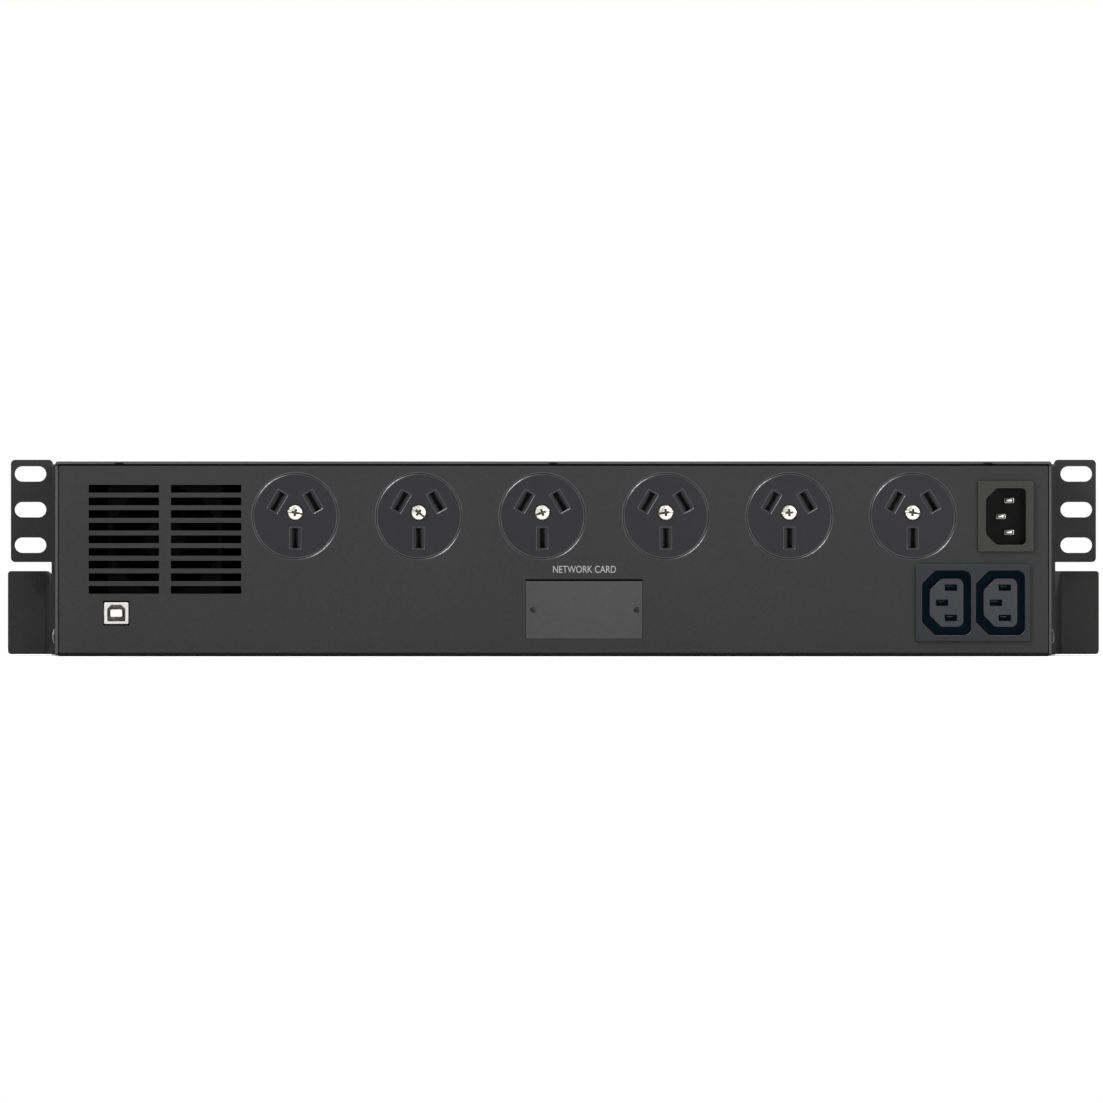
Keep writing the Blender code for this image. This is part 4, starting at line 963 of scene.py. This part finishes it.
INLET_CAVITY = (0.0175, 0.0249)
INLET_CHAMFER = 0.0050
INLET_CAVITY_DEPTH = 0.0190
INLET_CUP_GROWTH = 0.0028
INLET_PIN = (0.0040, 0.0020)
INLET_PIN_HOLE = (0.0046, 0.0026)
INLET_TIP_LENGTH = 0.0015
INLET_TIP_SCALE = (0.60, 0.40)


def make_inlet():
    """Flange with a keyed mouth, the cup behind it darkened as painted shade, and three chamfered pins."""
    low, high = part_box("inlet_housing")
    centre = middle_xz("inlet_housing")
    face_y, back_y = high[1], low[1]
    floor_y = face_y - INLET_CAVITY_DEPTH
    cavity = keyed(centre, INLET_CAVITY, INLET_CHAMFER, 0.0018)
    flange = plate("inlet_flange", [face_outline(low, high, 0.0007), cavity], "XZ", FLANGE_BACK_Y, face_y,
                   MATERIALS["inlet"], 0.0003, 3)
    # painted edge highlights on the flange's rims
    paint_edge_highlights(flange)
    stand_for(flange, "inlet_housing")
    outside = (INLET_CAVITY[0] + INLET_CUP_GROWTH, INLET_CAVITY[1] + INLET_CUP_GROWTH)
    outer = keyed(centre, outside, INLET_CHAMFER, 0.0024)
    cup = plate("inlet_cup", [outer, cavity], "XZ", back_y + 0.0010, FLANGE_BACK_Y)
    floor = plate("inlet_floor", [outer], "XZ", back_y, floor_y)
    pins = [f"inlet_pin_{name}" for name in ("line", "neutral", "earth")]
    cuts = []
    for pin in pins:
        hole = centred(middle_xz(pin), INLET_PIN_HOLE, 0.0002)
        cuts.append(plate("pin_hole", [hole], "XZ", back_y - 0.001, floor_y + 0.001))
    carve(floor, cuts)
    # the cup's near-black colour is painted shade of the deep cavity
    cup = merge("inlet_cup", [cup, floor], MATERIALS["inlet_cup"])
    add_trim(cup, "chassis")
    for pin in pins:
        make_inlet_pin(pin)


def make_inlet_pin(node):
    """Flat blade whose tip is chamfered on all four sides."""
    low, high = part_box(node)
    centre = middle_xz(node)
    outline = centred(centre, INLET_PIN, 0.0003)
    blade = plate(node + "_blade", [outline], "XZ", low[1], high[1] - INLET_TIP_LENGTH)
    tip = plate("tip", [outline], "XZ", high[1] - INLET_TIP_LENGTH - 0.0002, high[1])
    for vertex in tip.data.vertices:
        if vertex.co.y > high[1] - 0.0002:
            vertex.co.x = centre[0] + (vertex.co.x - centre[0]) * INLET_TIP_SCALE[0]
            vertex.co.z = centre[1] + (vertex.co.z - centre[1]) * INLET_TIP_SCALE[1]
    join(blade, [tip])
    soften(blade, 0.00012, 2, 25)
    link_material(blade, MATERIALS["pin"])
    stand_for(blade, node)


# ---------------------------------------------------------------- dual appliance outlets

DUAL_SOCKETS_X = (-0.1728, -0.1965)
DUAL_MOAT = (0.0215, 0.0284)
DUAL_ISLAND = (0.0149, 0.0213)
DUAL_MOAT_DEPTH = 0.0170
DUAL_SLOT = (0.0053, 0.00265)
DUAL_LINE = (-0.0019, 0.00665)
DUAL_EARTH = 0.0020
DUAL_LEAF = (0.0028, 0.0004)
DUAL_BODY_INSET = 0.0016


def dual_slot_places(x, z):
    return ((x + DUAL_LINE[0], z + DUAL_LINE[1]), (x + DUAL_LINE[0], z - DUAL_LINE[1]), (x + DUAL_EARTH, z))


def make_dual_outlet():
    """Flange with two keyed moats, the wells behind it darkened as painted shade, and a lighter island in
    each moat.
    """
    low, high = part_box("dual_outlet_housing")
    z = (low[2] + high[2]) / 2
    face_y, back_y = high[1], low[1]
    floor_y = face_y - DUAL_MOAT_DEPTH
    moats = [keyed((x, z), DUAL_MOAT, 0.0060, 0.0032) for x in DUAL_SOCKETS_X]
    flange = plate("dual_flange", [face_outline(low, high, 0.0009)] + moats, "XZ", FLANGE_BACK_Y, face_y,
                   MATERIALS["dual"], 0.00035, 3)
    # painted edge highlights on the flange's rims
    paint_edge_highlights(flange)
    stand_for(flange, "dual_outlet_housing")
    body = face_outline(low, high, 0.0010, DUAL_BODY_INSET)
    walls = [plate("well", [body] + moats, "XZ", floor_y, FLANGE_BACK_Y)]
    walls.append(plate("floor", [body], "XZ", back_y, floor_y))
    # the wells' near-black colour is painted shade of the deep moats
    well = merge("dual_outlet_wells", walls, MATERIALS["dual_moat"])
    add_trim(well, "chassis")
    for i, x in enumerate(DUAL_SOCKETS_X):
        outlines = [keyed((x, z), DUAL_ISLAND, 0.0054, 0.0028)]
        outlines += [centred(place, DUAL_SLOT, 0.0002) for place in dual_slot_places(x, z)]
        island = plate(f"dual_island_{i + 1}", outlines, "XZ", floor_y + 0.0001, face_y,
                       MATERIALS["dual_island"], 0.0003, 3)
        add_trim(island, "chassis")
        leaves = []
        for u, v in dual_slot_places(x, z):
            leaf = centred((u + 0.0005, v + 0.0006), DUAL_LEAF, 0.0001)
            leaves.append(plate("leaf", [leaf], "XZ", floor_y + 0.0002, face_y - 0.0070))
        contacts = merge(f"dual_contacts_{i + 1}", leaves, MATERIALS["contact"])
        add_trim(contacts, "chassis")


# ---------------------------------------------------------------- data socket

USB_OPENING = (0.0078, 0.0072)
USB_KEY = 0.0017
USB_SHORTER = 0.0002
USB_STRIP_X = 0.00125


def make_usb():
    """Folded shell with a keyed opening and rolled edges, around a tongue with four contacts."""
    low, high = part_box("usb_shell")
    x, z = middle_xz("usb_shell")
    outer = rounded((low[0], high[0]), (low[2] + USB_SHORTER, high[2] - USB_SHORTER), 0.0006)
    half_u, half_v = USB_OPENING[0] / 2, USB_OPENING[1] / 2
    opening = [(x - half_u, z - half_v), (x + half_u, z - half_v), (x + half_u, z + half_v - USB_KEY)]
    opening += [(x + half_u - USB_KEY, z + half_v), (x - half_u + USB_KEY, z + half_v)]
    opening += [(x - half_u, z + half_v - USB_KEY)]
    shell = plate("usb_shell_fold", [outer, opening], "XZ", low[1] + 0.0010, high[1],
                  MATERIALS["usb_shell"], 0.00035, 3)
    stand_for(shell, "usb_shell")
    back = plate("usb_back", [outer], "XZ", low[1], low[1] + 0.0009, MATERIALS["usb_inside"], 0.0002)
    add_trim(back, "chassis")
    low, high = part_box("usb_tongue")
    tongue = soft_block("usb_tongue_body", *zip(low, high), 0.0004, 0.0003, MATERIALS["usb_tongue"])
    stand_for(tongue, "usb_tongue")
    strips = []
    for column in (-1, 1):
        for row in (-1, 1):
            u = x + column * USB_STRIP_X
            v = (low[2] + high[2]) / 2 + row * (high[2] - low[2]) / 2
            strips.append(soft_block("strip", (u - 0.0005, u + 0.0005), (low[1] + 0.002, high[1] - 0.001),
                                     (v - 0.0001, v + 0.0001), 0.0, 0.00003))
    contacts = merge("usb_contacts", strips, MATERIALS["gold"])
    add_trim(contacts, "chassis")


# ---------------------------------------------------------------- accessory card slot

CARD_CLEARANCE = 0.00006
INK = 0.00004
LABEL_SIZE = (0.0276, 0.00310)
LABEL_X = -0.0136
LABEL_Z = 0.0377


def make_card_slot():
    """Blank plate of the accessory card slot, with two small screws."""
    low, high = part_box("slot_cover")
    x = (CARD_OPENING[0] + CARD_CLEARANCE, CARD_OPENING[1] - CARD_CLEARANCE)
    screws = [f"slot_screw_{i}" for i in (1, 2)]
    outlines = [rounded(x, (CARD_OPENING[2] + CARD_CLEARANCE, high[2]), 0.0004)]
    outlines += [circle(middle_xz(screw), 0.0008, 32) for screw in screws]
    cover = plate("slot_cover_plate", outlines, "XZ", low[1], high[1], MATERIALS["blank"], 0.00025, 3)
    # painted edge highlights on the plate's rims
    paint_edge_highlights(cover)
    stand_for(cover, "slot_cover")
    for screw in screws:
        u, v = middle_xz(screw)
        place = (u, PANEL_FACE_Y + 0.0001, v)
        stand_for(pan_screw(screw + "_head", place, "+Y", 0.00118, 0.0006, 0.0006, 0.0044), screw)


def make_slot_label():
    """Generic printed caption above the accessory slot."""
    text = bpy.data.curves.new("slot_label", "FONT")
    text.body = "NETWORK CARD"
    text.size = 1.0
    text.align_x = "CENTER"
    text.align_y = "CENTER"
    text.extrude = 0.0
    item = bpy.data.objects.new("slot_label", text)
    bpy.context.scene.collection.objects.link(item)
    mesh = evaluated_mesh(item)
    bpy.data.objects.remove(item, do_unlink=True)
    sizes = []
    for axis in (0, 1):
        values = [vertex.co[axis] for vertex in mesh.vertices]
        sizes.append(max(values) - min(values))
    scale = Matrix.Diagonal((LABEL_SIZE[0] / sizes[0], LABEL_SIZE[1] / sizes[1], 1.0, 1.0))
    facing = Matrix.Rotation(math.radians(180), 4, "Z") @ Matrix.Rotation(math.radians(90), 4, "X")
    mesh.transform(Matrix.Translation((LABEL_X, PANEL_FACE_Y + INK, LABEL_Z)) @ facing @ scale)
    label = link("slot_label", mesh, MATERIALS["print"])
    thick = label.modifiers.new("ink", "SOLIDIFY")
    thick.thickness = INK
    add_trim(label, "chassis")


# ---------------------------------------------------------------- front

WALL = 0.0025
HOLE_DEPTH = 0.006
DRAWER_GAP = 0.0008
BUTTON_HOLE_R = 0.0069
KEY_HOLE = (0.0148, 0.0068)
LAMP_HOLE_R = 0.0016
LAMP_PLACES = ((-0.1780, 0.0700), (-0.1780, 0.0280), (-0.0640, 0.0600), (-0.0640, 0.0500), (-0.0640, 0.0400))
LAMP_LENS = [(0.0, -0.0004), (0.0008, -0.00045), (0.0012, -0.0006), (0.0014, -0.0009),
             (0.0014, -0.0040), (0.0, -0.0040)]
GROOVE = (0.0560, 0.0022)
GROOVE_X = -0.0330
GROOVES_Z = (0.0640, 0.0580, 0.0520, 0.0460, 0.0400, 0.0340, 0.0280, 0.0220)
GRIP_X = (0.0750, 0.1460)
GRIP_Z = (0.0100, 0.0270)
GRIP_DEPTH = 0.0140
GRIP_WALL = 0.002
LOUVRE = (0.1680, 0.0024)
LOUVRE_TOP_Z = 0.0720
LOUVRE_PITCH = 0.0060
LOUVRE_COUNT = 7
DRAWER_SCREW_INSET = 0.0090
DRAWER_SCREW_Z = 0.0185
DRAWER_SEAT = 0.0012


def open_shell(name, low, high, outside, inside, rim, rim_steps, past):
    """A rounded face on thin walls, open at the back; outside and inside are (radius, steps) of corners."""
    face = face_outline(low, high, outside[0], 0.0, outside[1])
    shell = plate(name, [face], "XZ", low[1], high[1] + past, None, rim, rim_steps)
    hollow = face_outline(low, high, inside[0], WALL, inside[1])
    cuts = [block("back_cut", (-0.3, 0.3), (high[1], high[1] + 0.01), (-0.1, 0.2))]
    cuts.append(plate("hollow", [hollow], "XZ", low[1] + WALL, high[1] + 0.006))
    return carve(shell, cuts)


def face_cut(outline, face_y, depth):
    """A cutter that sinks an outline into a front face."""
    return plate("cut", [outline], "XZ", face_y - 0.002, face_y + depth)


def bore(radius, depth, place, steps):
    """A round cutter that sinks into a front face."""
    profile = [(0.0, 0.004), (radius, 0.004), (radius, -depth), (0.0, -depth)]
    return lathe("bore", profile, place, "-Y", None, steps)


def make_front_bezel():
    """Moulded bezel: rounded face, drawer mouth, display opening, button and key holes, lamp row."""
    low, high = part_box("front_bezel")
    face_y = low[1]
    bezel = open_shell("front_bezel_shell", low, high, (0.0030, 8), (0.0015, 4), 0.0020, 5, 0.0040)
    mouth_low, mouth_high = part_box("drawer_front")
    rib_x = (mouth_low[0] - DRAWER_GAP - WALL, mouth_low[0] - DRAWER_GAP)
    join(bezel, [block("rib", rib_x, (face_y + 0.001, high[1]), (low[2] + 0.001, high[2] - 0.001))])
    mouth = face_outline(mouth_low, mouth_high, 0.0012, -DRAWER_GAP, 4)
    cuts = [face_cut(mouth, face_y, high[1] + 0.002 - face_y)]
    cuts.append(face_cut(face_outline(*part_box("display_window"), 0.0013, -GAP, 5), face_y, HOLE_DEPTH))
    x, z = middle_xz("power_button")
    cuts.append(bore(BUTTON_HOLE_R, HOLE_DEPTH, (x, face_y, z), 64))
    ring = [(0.0100, 0.004), (0.0100, -0.0006), (0.0085, -0.0006), (0.0085, 0.004)]
    cuts.append(ring_cutter(ring, Matrix.Translation((x, face_y, z)) @ TURNS["-Y"]))
    for i in (1, 2, 3):
        cuts.append(face_cut(centred(middle_xz(f"menu_key_{i}"), KEY_HOLE, 0.0012), face_y, HOLE_DEPTH))
    cuts += [bore(LAMP_HOLE_R, HOLE_DEPTH, (x, face_y, z), 32) for x, z in LAMP_PLACES]
    cuts += [face_cut(obround((GROOVE_X, z), *GROOVE, 10), face_y, 0.0012) for z in GROOVES_Z]
    carve(bezel, cuts)
    soften(bezel, 0.00025, 2, 40)
    link_material(bezel, MATERIALS["bezel"])
    stand_for(bezel, "front_bezel")
    for i, (x, z) in enumerate(LAMP_PLACES):
        lamp = lathe(f"lamp_lens_{i + 1}", LAMP_LENS, (x, face_y, z), "-Y", MATERIALS["lamp"], 32)
        add_trim(lamp, "chassis")


def make_drawer_front():
    """Battery drawer's front: louvred face, finger pocket and two captive screws."""
    low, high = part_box("drawer_front")
    face_y = low[1]
    front = open_shell("drawer_front_shell", low, high, (0.0015, 5), (0.0010, 3), 0.0009, 4, 0.003)
    pocket_x = (GRIP_X[0] - GRIP_WALL, GRIP_X[1] + GRIP_WALL)
    pocket = rounded(pocket_x, (GRIP_Z[0] - GRIP_WALL, GRIP_Z[1] + GRIP_WALL), 0.0050, 6)
    join(front, [plate("grip_wall", [pocket], "XZ", face_y + 0.0005, face_y + GRIP_DEPTH + GRIP_WALL)])
    cuts = [face_cut(rounded(GRIP_X, GRIP_Z, 0.0040, 8), face_y, GRIP_DEPTH)]
    for i in range(LOUVRE_COUNT):
        centre = ((low[0] + high[0]) / 2, LOUVRE_TOP_Z - LOUVRE_PITCH * i)
        cuts.append(face_cut(obround(centre, *LOUVRE, 10), face_y, 0.0013))
    screws = [(low[0] + DRAWER_SCREW_INSET, face_y, DRAWER_SCREW_Z),
              (high[0] - DRAWER_SCREW_INSET, face_y, DRAWER_SCREW_Z)]
    cuts += [bore(0.0052, DRAWER_SEAT, place, 48) for place in screws]
    carve(front, cuts)
    soften(front, 0.00022, 2, 40)
    link_material(front, MATERIALS["bezel"])
    stand_for(front, "drawer_front")
    for i, (x, y, z) in enumerate(screws):
        place = (x, y + DRAWER_SEAT, z)
        screw = pan_screw(f"drawer_screw_{i + 1}", place, "-Y", 0.0042, 0.0011, 0.0018, 0.0010)
        add_trim(screw, "battery_drawer")


def make_display():
    """Tinted window over the display."""
    sides = zip(*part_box("display_window"))
    window = soft_block("display_window_pane", *sides, 0.0010, 0.0003, display_glass())
    stand_for(window, "display_window")


def display_glass():
    """Black glass with a pale level gauge showing through it."""
    material, tree, shader = new_material("display_glass")
    vector = place_texture(tree)
    split = tree.nodes.new("ShaderNodeSeparateXYZ")
    tree.links.new(vector, split.inputs["Vector"])
    low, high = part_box("display_window")
    limits = (("X", low[0] + 0.0160, "GREATER_THAN"), ("X", high[0] - 0.0160, "LESS_THAN"),
              ("Z", low[2] + 0.0120, "GREATER_THAN"), ("Z", low[2] + 0.0200, "LESS_THAN"))
    gauge = None
    for axis, limit, operation in limits:
        gauge = both(tree, gauge, compare(tree, split.outputs[axis], operation, limit))
    bars = compare(tree, split.outputs["X"], "PINGPONG", 0.0021)
    gauge = both(tree, gauge, compare(tree, bars, "GREATER_THAN", 0.0007))
    tone = blend_colours(tree, gauge, (0.006, 0.008, 0.012), (0.060, 0.130, 0.200))
    tree.links.new(tone, shader.inputs["Base Color"])
    tree.links.new(spread(tree, noise(tree, vector, 60.0), 0.06, 0.11), shader.inputs["Roughness"])
    shader.inputs["Coat Weight"].default_value = 0.5
    shader.inputs["Coat Roughness"].default_value = 0.05
    return material


def compare(tree, value, operation, limit):
    """A maths node between a value and a number."""
    node = tree.nodes.new("ShaderNodeMath")
    node.operation = operation
    node.inputs[1].default_value = limit
    tree.links.new(value, node.inputs[0])
    return node.outputs[0]


def both(tree, first, second):
    if first is None:
        return second
    node = tree.nodes.new("ShaderNodeMath")
    node.operation = "MULTIPLY"
    tree.links.new(first, node.inputs[0])
    tree.links.new(second, node.inputs[1])
    return node.outputs[0]


def make_buttons():
    """Power button with a ring mark, and three menu keys with rounded tops."""
    low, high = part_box("power_button")
    x, z = middle_xz("power_button")
    depth = high[1] - low[1]
    cap = [(0.0, -0.0004), (0.0022, -0.00035), (0.0024, -0.0001), (0.0030, -0.0001), (0.0032, -0.0003)]
    cap += [(0.0056, -0.00012), (0.0061, -0.0004), (0.0064, -0.0009), (0.0065, -0.0016)]
    cap += [(0.0065, 0.0012 - depth), (0.0077, 0.0012 - depth), (0.0077, -depth), (0.0, -depth)]
    button = lathe("power_button_cap", cap, (x, low[1], z), "-Y", MATERIALS["button"], 64)
    stand_for(button, "power_button")
    for node in [f"menu_key_{i}" for i in (1, 2, 3)]:
        low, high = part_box(node)
        centre = middle_xz(node)
        cap = centred(centre, (0.0140, 0.0060), 0.0012)
        key = plate(node + "_cap", [cap], "XZ", low[1], low[1] + 0.0035, None, 0.0005, 3)
        flange = centred(centre, (0.0164, 0.0084), 0.0012)
        join(key, [plate("flange", [flange], "XZ", high[1] - 0.0009, high[1])])
        link_material(key, MATERIALS["button"])
        stand_for(key, node)


# ---------------------------------------------------------------- inside pieces and underside

RIVETS_X = (-0.1900, -0.0950, 0.0, 0.0950, 0.1900)
RIVETS_Y = (-0.1000, 0.1300)
# the card bay, fan bracket and divider wall take a near-black coat: painted shade of the chassis's inside
CARRIED_OVER = {
    "comm_board": "board", "card_bay": "interior_painted_shade", "fan_bracket": "interior_painted_shade",
    "transformer_core": "core", "transformer_winding": "winding", "main_board": "board",
    "power_board": "board", "heat_sink": "heat_sink", "battery_tray": "zinc", "battery_plug": "slot_dark",
    "battery_socket": "slot_dark", "divider_wall": "interior_painted_shade", "display_board": "board",
    "fan_frame": "fan", "fan_rotor": "fan", "capacitor_1": "capacitor", "capacitor_2": "capacitor",
}


def dress_carried_nodes():
    for node, look in CARRIED_OVER.items():
        mesh = frame["nodes"][node].data
        mesh.materials.clear()
        mesh.materials.append(MATERIALS[look])


def grown(span, by):
    return (span[0] - by, span[1] + by)


def make_battery(index):
    """Sealed block with a stepped lid, six vent rings, and two blade terminals in their recesses."""
    node = f"battery_{index}"
    low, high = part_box(node)
    x, y = (low[0], high[0]), (low[1], high[1])
    top = high[2]
    lid_z = top - 0.0070

    def upright(name, x, y, z, corner, rim):
        return soft_block(name, x, y, z, corner, rim, None, "XY")

    case = upright(node + "_case", x, y, (low[2], lid_z), 0.0020, 0.0006)
    step_z = (lid_z - 0.001, lid_z + 0.0012)
    step = upright("step", grown(x, -0.0006), grown(y, -0.0006), step_z, 0.0018, 0.0002)
    lid = upright("lid", x, y, (lid_z + 0.0010, top), 0.0022, 0.0010)
    join(case, [step, lid])
    cuts = []
    ring = [(0.0062, 0.001), (0.0062, -0.0006), (0.0056, -0.0006), (0.0056, 0.001)]
    for i in range(6):
        place = (x[0] + 0.0280 + 0.0195 * (i % 3), y[0] + 0.0450 + 0.0500 * (i // 3), top)
        cuts.append(ring_cutter(ring, Matrix.Translation(place)))
    terminals_x = (x[0] + 0.0120, x[1] - 0.0120)
    for u in terminals_x:
        bay_y = (y[1] - 0.0130, y[1] + 0.002)
        cuts.append(upright("bay", (u - 0.0060, u + 0.0060), bay_y, (top - 0.0050, top + 0.002), 0.0010, 0.0))
    carve(case, cuts)
    soften(case, 0.0002, 2, 40)
    link_material(case, MATERIALS["battery"])
    stand_for(case, node)
    blades = []
    for u in terminals_x:
        blade_x, blade_y = (u - 0.00315, u + 0.00315), (y[1] - 0.0120, y[1] - 0.0040)
        blades.append(upright("blade", blade_x, blade_y, (top - 0.0046, top - 0.0038), 0.0008, 0.0002))
    terminals = merge(node + "_terminals", blades, MATERIALS["terminal"])
    add_trim(terminals, "battery_drawer")


def make_underside_rivets():
    """Flush rivets along the base pan, where the brackets, panel and walls are fixed."""
    profile = [(0.0, -0.00005), (0.0018, -0.0001), (0.0023, -0.0003), (0.0023, -0.0006), (0.0, -0.0006)]
    rivets = [lathe("rivet", profile, (x, y, 0.0), "-Z", None, 24) for x in RIVETS_X for y in RIVETS_Y]
    add_trim(merge("underside_rivets", rivets, MATERIALS["dark_screw"]), "chassis")


# ---------------------------------------------------------------- floor, light and camera

VIEW_WIDTH = 0.4849
LENS = 1700.0
SENSOR = 36.0
WORLD_FILL = 0.35
FLOOR_Z = -0.0004
LIGHT_AIM = Vector((0.0, 0.0, 0.04))
AIM = Vector((0.00084, PANEL_FACE_Y, 0.0457))


def make_floor():
    mesh = bpy.data.meshes.new("floor")
    shape = bmesh.new()
    bmesh.ops.create_grid(shape, x_segments=2, y_segments=2, size=1.6)
    shape.to_mesh(mesh)
    shape.free()
    material, tree, shader = new_material("floor_paper")
    vector = place_texture(tree)
    tone = blend_colours(tree, noise(tree, vector, 3.0, 2.0), (0.90, 0.90, 0.90), (0.92, 0.92, 0.92))
    tree.links.new(tone, shader.inputs["Base Color"])
    shader.inputs["Roughness"].default_value = 0.9
    shader.inputs["Specular IOR Level"].default_value = 0.1
    floor = link("floor", mesh, material)
    floor.location.z = FLOOR_Z


def make_world():
    """White where the camera sees it, and a weaker white as light on the object."""
    world = bpy.data.worlds.new("studio")
    bpy.context.scene.world = world
    world.use_nodes = True
    tree = world.node_tree
    background = tree.nodes["Background"]
    background.inputs["Color"].default_value = (1.0, 1.0, 1.0, 1.0)
    path = tree.nodes.new("ShaderNodeLightPath")
    strength = spread(tree, path.outputs["Is Camera Ray"], WORLD_FILL, 1.0, 0.0, 1.0)
    tree.links.new(strength, background.inputs["Strength"])


def add_light(name, place, size, power):
    data = bpy.data.lights.new(name, "AREA")
    data.shape = "RECTANGLE"
    data.size, data.size_y = size
    data.energy = power
    item = bpy.data.objects.new(name, data)
    bpy.context.scene.collection.objects.link(item)
    item.location = place
    aim = LIGHT_AIM - Vector(place)
    item.rotation_euler = aim.to_track_quat("-Z", "Y").to_euler()
    item.visible_camera = False


def make_lights():
    add_light("key", (1.5, 1.9, 1.7), (0.8, 0.8), 45.0)
    add_light("top", (0.0, 0.0, 3.0), (3.0, 3.0), 65.0)
    add_light("fill", (-1.2, 2.6, 0.7), (1.6, 1.6), 30.0)
    add_light("front_key", (-1.5, -2.0, 1.6), (0.9, 0.9), 45.0)
    add_light("front_fill", (1.3, -2.5, 0.8), (1.6, 1.6), 26.0)


def make_camera():
    data = bpy.data.cameras.new("camera")
    data.type = "PERSP"
    data.sensor_width = SENSOR
    data.lens = LENS
    data.clip_start = 0.1
    data.clip_end = 100.0
    item = bpy.data.objects.new("camera", data)
    bpy.context.scene.collection.objects.link(item)
    distance = VIEW_WIDTH * LENS / SENSOR
    item.location = AIM + Vector((0.0, distance, 0.0))
    item.rotation_euler = (math.radians(90), 0.0, math.radians(180))
    bpy.context.scene.camera = item


MATERIALS = make_materials()
make_camera()
make_world()
make_lights()
make_floor()
bpy.context.scene.view_settings.view_transform = "Standard"

make_rear_panel(MATERIALS["panel"])
make_base_pan(MATERIALS["pan"])
make_top_cover(MATERIALS["cover"])
make_cover_screws()
for side_sign, side_name, side_direction in SIDES:
    make_bracket(side_sign, side_name, side_direction, MATERIALS["bracket"])
for number in range(1, OUTLET_COUNT + 1):
    make_outlet(number)
make_inlet()
make_dual_outlet()
make_usb()
make_card_slot()
make_slot_label()
make_front_bezel()
make_drawer_front()
make_display()
make_buttons()
make_battery(1)
make_battery(2)
make_underside_rivets()
dress_carried_nodes()
